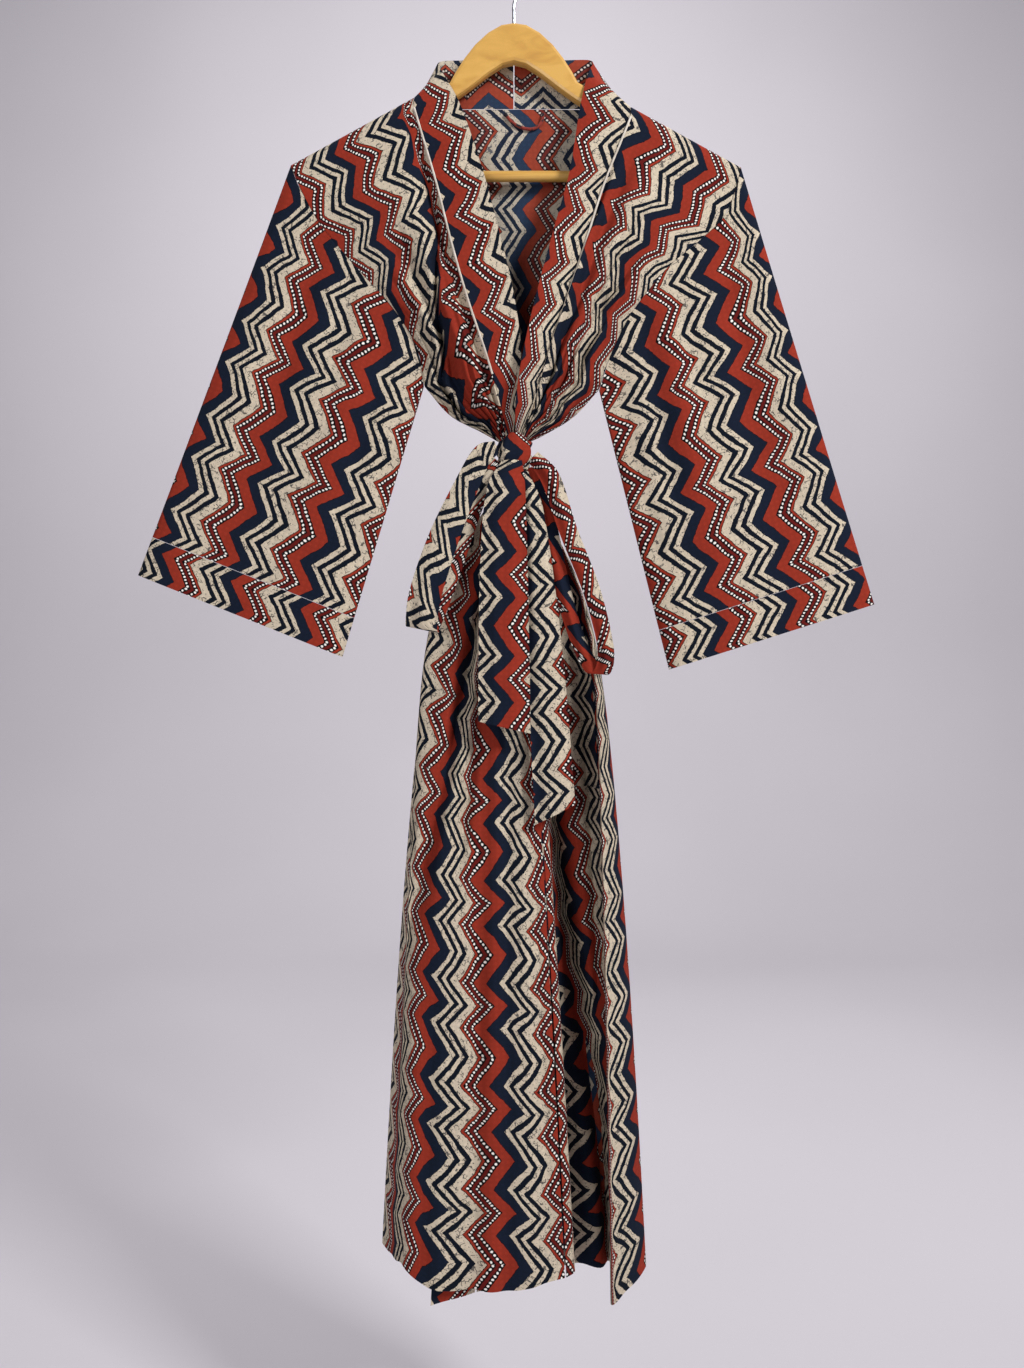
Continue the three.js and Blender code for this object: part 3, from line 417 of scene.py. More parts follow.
def cloth(name, node, net, flat, outward, ring=False,
          inside=None):
    """A closed shell of cloth on a net of points, with its map of the flat cloth, in millimetres."""
    rows, cols = net.shape[:2]
    before = np.roll(net, 1, 1) if ring else np.concatenate([net[:, :1], net[:, :-1]], 1)
    after = np.roll(net, -1, 1) if ring else np.concatenate([net[:, 1:], net[:, -1:]], 1)
    above, below = np.concatenate([net[:1], net[:-1]]), np.concatenate([net[1:], net[-1:]])
    normal = unit(np.cross(after - before, below - above)) * outward
    points = np.concatenate([(net + normal * WALL / 2).reshape(-1, 3),
                             (net - normal * WALL / 2).reshape(-1, 3)]) / 1000
    i, j = np.meshgrid(np.arange(rows - 1), np.arange(cols if ring else cols - 1), indexing="ij")
    i, j = i.ravel(), j.ravel()
    corners = [(i, j), (i + 1, j), (i + 1, j + 1), (i, j + 1)]
    if outward < 0:
        corners = corners[::-1]
    quads, places, slots = [], [], []

    def lay(side, order, looks):
        quads.append(np.stack([s * rows * cols + a * cols + b % cols for s, (a, b) in zip(side, order)], 1))
        places.append(np.stack([flat[a, b] for a, b in order], 1))
        slots.append(np.full(len(order[0][0]), looks))

    lay((0, 0, 0, 0), corners[::-1], 0)
    lay((1, 1, 1, 1), corners, 1)
    across = np.arange(cols if ring else cols - 1)
    down = np.arange(rows - 1)
    edges = [(np.zeros_like(across), across, 0, 1, True),
             (np.full_like(across, rows - 1), across, 0, 1, False)]
    if not ring:
        edges += [(down, np.zeros_like(down), 1, 0, False), (down, np.full_like(down, cols - 1), 1, 0, True)]
    for a, b, da, db, turned in edges:
        rim = [(a, b), (a + da, b + db), (a + da, b + db), (a, b)]
        side = (0, 0, 1, 1)
        if turned == (outward > 0):
            rim, side = rim[::-1], side[::-1]
        lay(side, rim, 0)
    name += "_cloth"
    mesh = bpy.data.meshes.new(name)
    faces = np.concatenate(quads)
    mesh.vertices.add(len(points))
    mesh.vertices.foreach_set("co", points.ravel())
    mesh.loops.add(faces.size)
    mesh.loops.foreach_set("vertex_index", faces.ravel())
    mesh.polygons.add(len(faces))
    mesh.polygons.foreach_set("loop_start", np.arange(0, faces.size, 4))
    mesh.polygons.foreach_set("material_index", np.concatenate(slots))
    mesh.update(calc_edges=True)
    layer = mesh.uv_layers.new(name="flat_cloth")
    layer.data.foreach_set("uv", (np.concatenate(places).reshape(-1, 2) / 1000).ravel())
    mesh.shade_smooth()
    mesh.set_sharp_from_angle(angle=math.radians(55))
    mesh.materials.append(cotton_face)
    mesh.materials.append(inside or cotton_reverse)
    piece = bpy.data.objects.new(name, mesh)
    bpy.context.collection.objects.link(piece)
    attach(piece, "root")
    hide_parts(node)
    return piece


TURNS = np.linspace(0, 0.7, 7)
CHEST = np.linspace(0.05, 1, 110)
SKIRT = np.linspace(0, 1, 150) ** 1.25


def back_top(x, turn):
    """Top edge of the back: over both arms, and below the collar seam between them."""
    left_line, right_line = (
        [collar_edges(side, s)[0] for s in (0, 0.06, 0.12, 0.17, 0.21)] + [over_arm(neck, 0.7, 1)]
        for side, neck in ((True, NECK_LEFT), (False, NECK_RIGHT)))
    line = np.array(left_line[::-1] + right_line)
    middle = point(x, np.interp(x, line[:, 0], line[:, 1]),
                   np.interp(x, line[:, 0], line[:, 2]) - 1.7 * SEAM
                   - 8.5 * (1 - np.cos(np.asarray(turn) * math.pi / 2)))
    arms = (x < NECK_LEFT - SEAM / 2) | (x > NECK_RIGHT + SEAM / 2)
    return np.where(arms[..., None], over_arm(x, turn, 1), middle)


from_x, to_x = outer_edge(True, 0, 1)[0], outer_edge(False, 0, 1)[0]
back_x = np.concatenate([np.linspace(from_x, NECK_LEFT - 0.9, 30),
                         np.linspace(NECK_LEFT + 0.3, NECK_RIGHT - 0.5, 60),
                         np.linspace(NECK_RIGHT + 0.9, to_x, 30)])
u = (back_x - from_x) / (to_x - from_x)
net = [back_top(back_x, turn) for turn in TURNS]
for v in CHEST:
    base = blend_points(outer_edge(True, v, 1), outer_edge(False, v, 1), u)
    start = blend_points(outer_edge(True, 0, 1), outer_edge(False, 0, 1), u)
    base += (back_top(back_x, 1.0) - start) * (1 - smooth(-0.15, 0.85, v))
    bulge = np.sin(np.pi * u) ** 0.7
    base[:, 1] += bulge * (16 * smooth(0.2, 0.8, v) - 4 * smooth(0.9, 1, v))
    ripple = 5 * np.cos(8 * np.pi * u) + 1.2 * np.cos(23 * u + 2) + 0.8 * np.cos(41 * u + 1)
    base[:, 1] += ripple * bulge * smooth(0.3, 0.7, v) * (1 - smooth(0.82, 0.97, v))
    if v < 0.4:
        base[:, 1] = np.maximum(base[:, 1], 9.2)
    net.append(base)
waist = len(net)
for t in SKIRT:
    row = skirt_point(SKIRT_BACK, u, t)
    ripple = 1.6 * np.cos(31 * u + 1) + 1.1 * np.cos(53 * u + 2)
    row[:, 1] += ripple * np.sin(np.pi * u) * smooth(0.05, 0.4, t)
    net.append(row)
net = np.array(net)
down = lengths(net)
wide = np.concatenate([np.full(waist, 420.0), 380 + 70 * SKIRT])
flat = np.stack([14 - (u - 0.5)[None, :] * wide[:, None], -down], axis=-1)
cloth("back", "back", net, flat, 1)

# Fronts: two lengths of cotton gathered tightly by the belt. The left one laps over the right
# below it, and both fall in soft upright folds.
# u, depth, width, from and to: the folds that pull from the shoulders to the belt
CHEST_LEFT = (
    (0.9, 7, 0.07, 0.1, 0.97),
    (0.66, -4, 0.11, 0.22, 0.97),
    (0.44, 5, 0.09, 0.3, 0.97),
    (0.24, -3, 0.1, 0.42, 0.97),
)
CHEST_RIGHT = (
    (0.87, 8, 0.07, 0.1, 0.97),
    (0.66, -4, 0.11, 0.2, 0.97),
    (0.45, 6, 0.09, 0.28, 0.97),
    (0.25, -3, 0.1, 0.4, 0.97),
)
# u, place in the belt x y, place at the hem x y z, how soon it spreads
SKIRT_LEFT = (
    (0, -14.5, 0.4, -140, 41, -1350, 0.34),
    (0.12, -13.4, -3, -130, 12, -1345, 0.34),
    (0.26, -12.2, -7, -114, -24, -1341, 0.17),
    (0.38, -11, -10, -86, -37, -1358, 0.3),
    (0.56, -9.6, -12, -42, -33, -1361, 0.45),
    (0.74, -8.2, -12.5, -2, -39, -1360, 0.55),
    (0.88, -7, -12.7, 29, -34, -1354, 0.64),
    (1, -6, -12.8, 51, -31, -1350, 0.67),
)
SKIRT_RIGHT = (
    (0, 14.5, 0.4, 129, 38, -1356, 0.34),
    (0.11, 14, -1, 137, 9, -1358, 0.34),
    (0.21, 13.3, -3, 121, -20, -1362, 0.25),
    (0.32, 12.4, -4.5, 97, -44, -1371, 0.13),
    (0.44, 11.3, -3.6, 104, -10, -1368, 0.2),
    (0.53, 10.3, -2, 96, 14, -1366, 0.3),
    (0.62, 9.2, -1.4, 71, 23, -1362, 0.42),
    (0.72, 8.2, -1.4, 46, 14, -1362, 0.5),
    (0.86, 6.8, -2, 2, -7, -1366, 0.55),
    (1, 5.6, -2.8, -38, -16, -1372, 0.5),
)
# smaller folds: u, depth, width, from and to, and for a slanting one its lean
SMALL_CHEST_LEFT = (
    (0.975, 10.0, 0.026, 0.1, 0.62, -0.2), (1.055, 14.0, 0.036, 0.34, 0.98, -1.55),
    (0.98, -5.0, 0.05, 0.3, 0.97, -0.45), (0.80, -3.0, 0.06, 0.2, 0.97, -0.3),
    (0.58, 4.0, 0.035, 0.3, 0.99, -0.3), (0.34, -3.2, 0.05, 0.4, 0.97), (0.22, 4.5, 0.035, 0.45, 0.99),
    (0.10, -2.4, 0.04, 0.45, 0.97), (0.05, 4.0, 0.03, 0.55, 0.99, 0.5),
)
SMALL_CHEST_RIGHT = (
    (0.985, 6.0, 0.022, 0.14, 0.6), (0.90, -4.0, 0.06, 0.2, 0.97), (0.60, 5.0, 0.035, 0.25, 0.99),
    (0.52, -3.0, 0.04, 0.2, 0.97), (0.30, 6.0, 0.04, 0.45, 0.99, 0.8), (0.28, -3.6, 0.04, 0.35, 0.97),
    (0.05, 6.0, 0.045, 0.55, 0.99, 1.5), (0.78, 4.0, 0.03, 0.5, 0.99, 0.15),
)
CREASES_LEFT = (
    (0.56, 16.0, 0.028, 0.0, 0.62, -0.5), (0.60, 11.0, 0.028, 0.05, 0.55, -0.35),
    (0.64, -3.0, 0.05, 0.0, 0.8), (0.36, -3.0, 0.035, 0.0, 0.7), (0.36, 3.4, 0.035, 0.5, 1.3),
    (0.72, 3.6, 0.045, 0.0, 1.3), (0.84, -2.4, 0.04, 0.1, 1.3), (0.92, 2.4, 0.025, 0.1, 1.0),
    (0.56, 3.0, 0.04, 0.45, 1.3), (0.255, 5.0, 0.02, 0.3, 1.4), (0.16, 2.6, 0.03, 0.1, 1.3),
    (0.63, -2.2, 0.05, 0.5, 1.3),
)
CREASES_RIGHT = (
    (0.74, 30.0, 0.036, 0.25, 1.6, -0.35), (0.515, 14.0, 0.026, 0.15, 1.6), (0.42, -4.5, 0.035, 0.2, 1.4),
    (0.58, -3.0, 0.03, 0.05, 1.3), (0.25, 3.0, 0.025, 0.0, 1.3), (0.34, 3.0, 0.025, 0.05, 1.3),
    (0.86, -2.4, 0.04, 0.1, 1.3), (0.14, 2.0, 0.03, 0.1, 1.3),
)


def front_net(left):
    """Net of a front, from over the hanger down to the hem."""
    deep, small = (CHEST_LEFT, SMALL_CHEST_LEFT) if left else (CHEST_RIGHT, SMALL_CHEST_RIGHT)
    skirt, creases = (SKIRT_LEFT, CREASES_LEFT) if left else (SKIRT_RIGHT, CREASES_RIGHT)
    u = np.linspace(0, 1, 84)
    start = outer_edge(left, 0, -1)[0]
    end = NECK_LEFT - 0.9 if left else NECK_RIGHT + 0.9
    net = [over_arm(start + (end - start) * u, turn, -1) for turn in TURNS]
    for v in CHEST:
        edge = beside_collar(left, NECK_V + v * (1 - NECK_V))
        row = blend_points(outer_edge(left, v, -1), edge, u)
        row[:, 1] += folds(deep, u, v) + folds(small, u, v)
        gathers = 2.6 * np.cos(46 * u + 7 * u * u + 2 * left)
        row[:, 1] += gathers * smooth(0.72, 0.9, v) * (1 - smooth(0.975, 1, v))
        row[:, 1] -= 7 * np.sin(np.pi * u) * smooth(0.1, 0.4, v) * (1 - smooth(0.75, 1, v))
        if v < 0.4:
            row[:, 1] = np.minimum(row[:, 1], -9.2)
        if not left:
            roll = np.exp(-((u - 0.95) / 0.036) ** 2) * smooth(0.34, 0.5, v) * (1 - smooth(0.84, 0.96, v))
            row = row - roll[:, None] * point(3.0, 5.5, 0)
        net.append(row)
    for t in SKIRT:
        row = skirt_point(skirt, u, t)
        row[:, 1] += folds(creases, u, t) * smooth(0.02, 0.12, t)
        row[:, 1] += 1.6 * np.cos(50 * u + 9 * u * u + left) * smooth(0.01, 0.05, t) * np.exp(-t / 0.14)
        net.append(row)
    return np.array(net), u


# Where the print lies: place across the piece and mm of print. Cloth hidden in a fold is
# crowded into it, so the stripes on either side stand as far apart as they do on the robe.
def chest_print_left(u, v):
    ecru = np.interp(v, (0.2, 0.35, 0.5, 0.65, 0.8, 1), (0.90, 0.91, 0.84, 0.62, 0.38, 0.25))
    dots = np.interp(v, (0.2, 0.35, 0.5, 0.65, 0.8, 1), (0.51, 0.53, 0.44, 0.17, -0.08, -0.2))
    near = np.interp(v, (0.35, 0.5, 0.65, 0.8, 1), (0.965, 0.93, 0.83, 0.8, 0.78))
    past = np.interp(v, (0.35, 0.5, 0.65, 0.8, 1), (55, 58, 65.5, 76.5, 70))
    return np.interp(u, (dots - 0.9, dots - 0.45, dots, ecru, ecru + 0.03, near, 1),
                     (271.1, 198.3, 125.5, 78, past, 52.7, 42))


def chest_print_right(u, v):
    dots = np.interp(v, (0.2, 0.35, 0.5, 0.65, 0.8, 1), (0.70, 0.76, 0.77, 0.67, 0.6, 0.5))
    return np.interp(u, (dots - 1, dots - 0.5, dots, 1), (-92.9, -20.1, 52.7, 52.7 + 115 * (1 - dots)))


def skirt_print_left(u, t):
    high = 1 - smooth(0.24, 0.42, t)
    dots = 0.30 + 0.06 * (1 - smooth(0.22, 0.5, t))
    second = 0.40 + 0.23 * t + 0.04 * high
    navy = (73.5 + 52 * 0.045 / (second - dots - 0.05)) * (1 - high) + 84 * high
    return np.interp(u, (0, 0.12, dots, dots + 0.05, dots + 0.095, second, 0.93 + 0.06 * t, 1.4),
                     (-45, -20, 52.7, 73.5, navy, 125.5, 198.3, 270))


def skirt_print_right(u, t):
    navy = np.interp(t, (0.35, 0.45, 0.55, 0.65, 0.75, 1), (0.66, 0.63, 0.605, 0.54, 0.49, 0.44))
    hollow, past = navy + 0.015, navy + 0.085
    return np.interp(u, (0, 0.1, 0.15, 0.2, 0.3, navy - 0.12, navy, hollow, past, navy + 0.14, 1),
                     (-113, -85, -72.8, -61, -35, 32, 78, 84, 147, 156, 235))


def print_map(net, u, chest, skirt, chest_run, skirt_run, shoulder):
    """Flat map of a front: its print above the belt and below it, each with its own start."""
    above = len(net) - len(SKIRT)
    across = [chest(u, v) for v in np.concatenate([np.full(shoulder, CHEST[0]), CHEST])]
    across += [skirt(u, t) for t in SKIRT]
    start = np.where(np.arange(len(net)) < above, chest_run, skirt_run)
    return np.stack([np.array(across), start[:, None] - lengths(net)], axis=-1)


net, u = front_net(True)
flat = print_map(net, u, chest_print_left, skirt_print_left, 20, 26, len(TURNS))
cloth("front_left", "front_left", net, flat, -1)
net, u = front_net(False)
flat = print_map(net, u, chest_print_right, skirt_print_right, 5, 48, len(TURNS))
cloth("front_right", "front_right", net, flat, 1)

# Sleeves: wide straight tubes, folded flat along the shoulder line and sewn to the armhole.
# Each ends in a turned band of the same cotton whose print doesn't match across the seam.
CUFF = 42.0
SLEEVE_HEM = {True: ((-387, -642), (-177, -726)), False: ((371, -672), (160, -739))}
SLEEVE_FOLDS = (
    # w, depth, width, from, to, lean: troughs that run down from the armhole
    (0.30, 3.2, 0.06, -0.2, 0.62, 0.10), (0.52, 2.6, 0.05, -0.2, 0.5, 0.14),
    (0.74, 3.0, 0.05, -0.2, 0.7, 0.10), (0.92, 1.6, 0.04, -0.2, 0.8, 0.0),
    (0.15, -1.4, 0.05, 0.1, 0.9, 0.05), (0.62, -2.0, 0.05, 0.0, 0.75, 0.12),
    (0.42, -1.6, 0.05, 0.1, 0.95, 0.05), (0.84, -1.6, 0.04, 0.1, 1.1, 0.04),
)


def sleeve_places():
    """turn, v and w of one half of the ring, from the shoulder line to the underarm."""
    turned = [(t, 0.0, 0.035 * t) for t in np.linspace(0, 0.7, 6)]
    round_ = [(1.0, v, v / UNDERARM_V * 0.98) for v in np.linspace(0.05, UNDERARM_V, 46)]
    return turned + round_


def sleeve_net(left, stations, short):
    """Rings of a sleeve from the underarm over the back, the ridge and the front; s to the hem."""
    out = -1 if left else 1
    (ox, oz), (ix, iz) = SLEEVE_HEM[left]
    columns = []
    half = sleeve_places()
    ring = [(None, 1.0, 1)] + [(at, at[2], 1) for at in half[:0:-1]] + [(half[0], 0.0, -1)]
    ring += [(at, at[2], -1) for at in half[1:]]
    for at, w, face in ring:
        if at is None:
            edge = outer_edge(left, UNDERARM_V, face) * (1, 0, 1) + (0, 0, -2.2)
        elif at[1] > 0:
            edge = outer_edge(left, at[1], face)
        else:
            edge = over_arm(outer_edge(left, 0, face)[0], at[0], face) * (1, 1 if w else 0, 1)
        edge = edge + (out * SEAM * 1.2, 0, -SEAM * 0.4 * w)
        hem = np.array([ox + (ix - ox) * w, 0.0, oz + (iz - oz) * w])
        if 0 < w < 1:
            hem[1] = face * 9 * math.sqrt(1 - (2 * w - 1) ** 8)
        reach = np.linalg.norm(hem - edge)
        part = stations * (1 - short / reach) if short else 1 - (1 - stations) * (CUFF - SEAM) / reach
        p = edge + (hem - edge) * part[:, None]
        swell = math.sin(math.pi * w) * np.sin(np.pi * part)
        p[:, 1] += face * 3 * swell * math.cos(3 * math.pi * w)
        for at_w, deep, width, start, end, lean in SLEEVE_FOLDS:
            run = smooth(start, start + 0.25, part) * (1 - smooth(end - 0.3, end, part))
            run *= smooth(0, 0.12, part)
            p[:, 1] -= face * deep * run * np.exp(-((w - at_w - lean * part) / width) ** 2)
        columns.append((w, face, p))
    net = np.stack([p for _, _, p in columns], axis=1)
    signed = np.array([(w if face < 0 else -w) for w, face, _ in columns] + [1.0])
    return net, signed


def sleeve_print(net, signed, start, width, turned, run):
    """Print of a tube: across from the ridge, lengthwise back from its lower seam."""
    low = run - (lengths(net)[-1:] - lengths(net))
    low = np.concatenate([low, low[:, :1]], axis=1)
    across = start + turned * signed * width
    return np.stack([np.broadcast_to(across, low.shape), low], axis=-1)


for left, name in ((True, "left"), (False, "right")):
    outward = -1 if left else 1
    net, signed = sleeve_net(left, np.linspace(0, 1, 80), CUFF)
    flat = sleeve_print(net, signed, 65.0 if left else 69.0, 208.0, 1, 11 if left else 24)
    cloth(f"sleeve_{name}", f"sleeve_{name}", net, flat, outward, ring=True)
    net, signed = sleeve_net(left, np.linspace(0, 1, 9), 0.0)
    flat = sleeve_print(net, signed, 27.0 if left else 60.0, 215.0, -1 if left else 1, 30 if left else 5)
    cloth(f"cuff_{name}", f"cuff_{name}", net, flat, outward, ring=True)

# Collar and front band: one long strip in two halves joined at the back neck. It runs down the
# chest, through the belt and on down both front edges to the hem; the print meets it in mirror.
# u, place in the belt x y, place at the hem x y z, how soon it spreads
BAND_LEFT = (
    (0, -4.7, -12.9, 52.7, -30, -1350, 0.67),
    (0.2, -3.4, -12.4, 60.5, -24, -1348, 0.67),
    (0.5, -2.3, -11.7, 61, -12, -1349, 0.67),
    (0.8, -1.6, -11, 56, -2, -1352, 0.65),
    (1, -1.1, -10.5, 50, 3, -1355, 0.63),
)
BAND_RIGHT = (
    (0, 4.3, -3.1, -39.7, -16.4, -1372, 0.5),
    (0.5, 2.8, -4, -62, -20.5, -1377, 0.5),
    (1, 1.4, -4.4, -84, -25, -1381, 0.5),
)


def band_net(left):
    table = BAND_LEFT if left else BAND_RIGHT
    u = np.linspace(0, 1, 17)

    def across(seam, free):
        return seam + (free - seam) * u[:, None]

    net = [across(*collar_edges(left, s)) for s in np.linspace(0, 0.21, 22)]
    neck = NECK_LEFT if left else NECK_RIGHT
    for turn, face in [(t, 1) for t in TURNS[:0:-1]] + [(t, -1) for t in TURNS]:
        seam = over_arm(neck, turn, face)
        if turn == 0:
            seam[1] = 0
        net.append(across(seam, collar_edges(left, NECK_V - face * 0.036 * turn)[1]))
    for v in CHEST:
        row = across(*collar_edges(left, NECK_V + v * (1 - NECK_V)))
        row[:, 1] -= 1.2 * np.sin(np.pi * u) * smooth(0.05, 0.3, v) * (1 - smooth(0.8, 1, v))
        net.append(row)
    for t in SKIRT:
        row = skirt_point(table, u, t)
        row[:, 1] -= 0.8 * np.sin(2 * np.pi * u) * smooth(0.1, 0.4, t)
        net.append(row)
    return np.array(net), u


def band_print_left(u, t):
    return skirt_print_left(1.0, t) - 50 * u


for left, name, chest, skirt, run, low_run in (
        (True, "left", lambda u, v: 78.8 - 50 * u, band_print_left, 48.5, 26),
        (False, "right", lambda u, v: 20 + 50 * u, lambda u, t: 40 + 50 * u, 30, 40)):
    net, u = band_net(left)
    flat = print_map(net, u, chest, skirt, run, low_run, len(net) - len(CHEST) - len(SKIRT))
    cloth(f"collar_{name}", f"collar_{name}", net, flat, -1 if left else 1)

# Piping of the collar seam and the hanging loop of the back neck: bias tape rolled over a
# thin cord and caught in the seam. Its twist shows as fine slanting ribs.
PIPING_R = 1.1
LOOP_R = 1.6


def cord_tree(name):
    """Nodes that turn a path into a round cord of a named radius and material."""
    tree = bpy.data.node_groups.new(name, "GeometryNodeTree")
    tree.interface.new_socket("Geometry", in_out="INPUT", socket_type="NodeSocketGeometry")
    sizes = tree.interface.new_socket("Radius", in_out="INPUT", socket_type="NodeSocketFloat")
    looks = tree.interface.new_socket("Material", in_out="INPUT", socket_type="NodeSocketMaterial")
    tree.interface.new_socket("Geometry", in_out="OUTPUT", socket_type="NodeSocketGeometry")
    given = add(tree, "NodeGroupInput")
    path = add(tree, "GeometryNodeMeshToCurve", {0: given.outputs["Geometry"]})
    smooth_path = add(tree, "GeometryNodeCurveSplineType", {0: path.outputs[0]}, spline_type="CATMULL_ROM")
    even = add(tree, "GeometryNodeResampleCurve", {"Curve": smooth_path.outputs[0], "Count": 180})
    section = add(tree, "GeometryNodeCurvePrimitiveCircle", {
        "Resolution": 12, "Radius": given.outputs["Radius"]})
    tube = add(tree, "GeometryNodeCurveToMesh", {
        "Curve": even.outputs[0], "Profile Curve": section.outputs[0], "Fill Caps": True})
    whole = add(tree, "GeometryNodeRealizeInstances", {0: tube.outputs[0]})
    dressed = add(tree, "GeometryNodeSetMaterial", {
        0: whole.outputs[0], "Material": given.outputs["Material"]})
    add(tree, "NodeGroupOutput", {0: dressed.outputs[0]})
    return tree, sizes.identifier, looks.identifier


cord_nodes, radius_input, material_input = cord_tree("cord_along_a_path")


def lay_cord(name, path, radius, material):
    mesh = bpy.data.meshes.new(name)
    mesh.from_pydata([tuple(p / 1000) for p in path], [(i, i + 1) for i in range(len(path) - 1)], [])
    guide = bpy.data.objects.new(name + "_path", mesh)
    bpy.context.collection.objects.link(guide)
    maker = guide.modifiers.new("cord", "NODES")
    maker.node_group = cord_nodes
    maker[radius_input] = radius / 1000
    maker[material_input] = material
    bpy.context.view_layer.update()
    solid = bpy.data.meshes.new_from_object(guide.evaluated_get(bpy.context.evaluated_depsgraph_get()))
    bpy.data.objects.remove(guide)
    solid.shade_smooth()
    piece = bpy.data.objects.new(name + "_cord", solid)
    bpy.context.collection.objects.link(piece)
    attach(piece, "root")
    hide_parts(name)
    return piece


tape, tree, surface = new_material("unbleached_cotton_tape", Roughness=0.88, Sheen_Weight=0.1)
place = add(tree, "ShaderNodeTexCoord").outputs["Object"]
leaning = add(tree, "ShaderNodeMapping", {"Vector": place, "Rotation": (0.6, 0.5, 0.0)}).outputs[0]
rib = add(tree, "ShaderNodeTexWave", {"Vector": leaning, "Scale": 60.0, "Distortion": 1.0, "Detail": 1.0},
          bands_direction="Z")
wear = add(tree, "ShaderNodeTexNoise", {"Vector": place, "Scale": 90.0})
tape_colour = add(tree, "ShaderNodeValToRGB", {0: wear.outputs[0]})
set_ramp(tape_colour, [(0.3, linear("#C3B7A8")), (0.7, linear("#E4DBCF"))])
bump = add(tree, "ShaderNodeBump", {"Strength": 0.3, "Distance": 0.0003, "Height": rib.outputs["Fac"]})
tree.links.new(tape_colour.outputs[0], surface.inputs["Base Color"])
tree.links.new(bump.outputs[0], surface.inputs["Normal"])

for left, name in ((True, "piping_left"), (False, "piping_right")):
    s = np.arange(0.305, 0.9, 0.02)
    seam, free = collar_edges(left, s)
    out = unit(np.cross(collar_edges(left, s + 0.01)[0] - seam, free - seam))
    out = np.where(out[:, 1:2] > 0, -out, out)
    lay_cord(name, (seam + beside_collar(left, s)) / 2 + out * 1.7, PIPING_R, tape)
loop_path = along(((0, -9, 10.4, -161), (1, -2, 10.2, -170), (2, 9, 10.2, -176), (3, 20, 10.2, -177),
                   (4, 28, 10.2, -171), (5, 31, 10.4, -161)), np.linspace(0, 5, 26))
dark_tape, tree, surface = new_material("red_cotton_tape", Roughness=0.9, Sheen_Weight=0.1)
place = add(tree, "ShaderNodeTexCoord").outputs["Object"]
blotch = add(tree, "ShaderNodeTexNoise", {"Vector": place, "Scale": 150.0})
tape_colour = add(tree, "ShaderNodeValToRGB", {0: blotch.outputs[0]})
set_ramp(tape_colour, [(0.42, linear("#1C1A22")), (0.5, linear("#8E3024"))])
tree.links.new(tape_colour.outputs[0], surface.inputs["Base Color"])
lay_cord("neck_loop", loop_path, LOOP_R, dark_tape)

# Pocket: a patch of the same cotton, turned in on three sides and sewn flat on the right front.
pocket_u = np.linspace(8 / 18, 13 / 18, 26)
rows = []
for t in np.linspace(0.19, 0.39, 40):
    here = skirt_point(SKIRT_RIGHT, pocket_u, t)
    here[:, 1] += folds(CREASES_RIGHT, pocket_u, t) * smooth(0.02, 0.12, t)
    over = skirt_point(SKIRT_RIGHT, pocket_u + 1 / 18, t) - skirt_point(SKIRT_RIGHT, pocket_u - 1 / 18, t)
    drop = skirt_point(SKIRT_RIGHT, pocket_u, t + 0.03) - skirt_point(SKIRT_RIGHT, pocket_u, t - 0.03)
    normal = unit(np.cross(over, drop))
    normal = np.where(normal[:, 1:2] > 0, -normal, normal)
    rows.append(here + normal * 1.3)
net = np.array(rows)
flat = np.stack([np.broadcast_to(150 + (pocket_u - 0.44) * 300, net.shape[:2]), -lengths(net) - 30], axis=-1)
cloth("pocket", "pocket", net, flat, 1)

# Belt: one long tube of the printed cotton pressed flat, wound once round the gathered waist
# and tied in front in a bow with two loops and two hanging tails.
# step along the loop, middle of the strip x y z, its width and the slope of its width in degrees
LOOP_LEFT = (
    (0, -17.6, -32, -516, 13, -70),
    (1, -32, -42, -527, 22, -52),
    (2, -49, -49, -562, 25, -30),
    (3, -70, -53, -612, 30, -23),
    (4, -87, -55, -664, 32, -18),
    (5, -91, -53.5, -690, 32, -14),
    (6, -91, -49, -700, 32, -12),
    (7, -88, -44, -692, 32, -14),
    (8, -72, -41, -652, 30, -20),
    (9, -50, -39.5, -595, 25, -24),
    (10, -33, -38, -556, 19, -28),
    (11, -20, -35, -528, 17, -40),
)
LOOP_RIGHT = (
    (0, 19.4, -32, -526, 14, 50),
    (1, 37, -42, -551, 20, 38),
    (2, 54, -49, -603, 18, 22),
    (3, 76, -52, -660, 17, 20),
    (4, 89, -53.5, -710, 16, 12),
    (5, 90, -52, -734, 17, 3),
    (6, 84, -48, -744, 18, -4),
    (7, 76, -44, -736, 17, 6),
    (8, 62, -42, -706, 15, 24),
    (9, 47, -41, -655, 17, 18),
    (10, 35, -36, -600, 18, 18),
    (11, 21, -31, -534, 17, 30),
)
# v down the tail, middle of the strip x y z, its width and the slant of its end
TAIL_FRONT = (
    (0, -2, -40, -531, 20, 0),
    (0.15, -8, -52, -560, 38, 2),
    (0.4, -10, -54, -640, 47, 0),
    (1, -9.5, -52, -797, 52, -12),
)
TAIL_REAR = (
    (0, 8, -35, -541, 12, 0),
    (0.15, 18, -44, -580, 22, 0),
    (0.5, 30, -45, -720, 36, 0),
    (1, 41, -44, -884, 40, 20),
)
a = np.linspace(0, 2 * np.pi, 97)[:-1]
rows = []
for k in np.linspace(0, 5, 26):
    ridge = 1.1 * np.cos(k * math.pi * 0.7 + a) + 0.5 * np.cos(k * 2.4 + 3 * a)
    rows.append(point((17.2 + ridge) * np.cos(a), -1 + (19 + ridge) * np.sin(a), -506 - 5.8 * k))
net = np.array(rows)
flat = np.stack(np.broadcast_arrays(np.linspace(0, 34, 26)[:, None], np.linspace(0, 118, 97)[None, :]), -1)
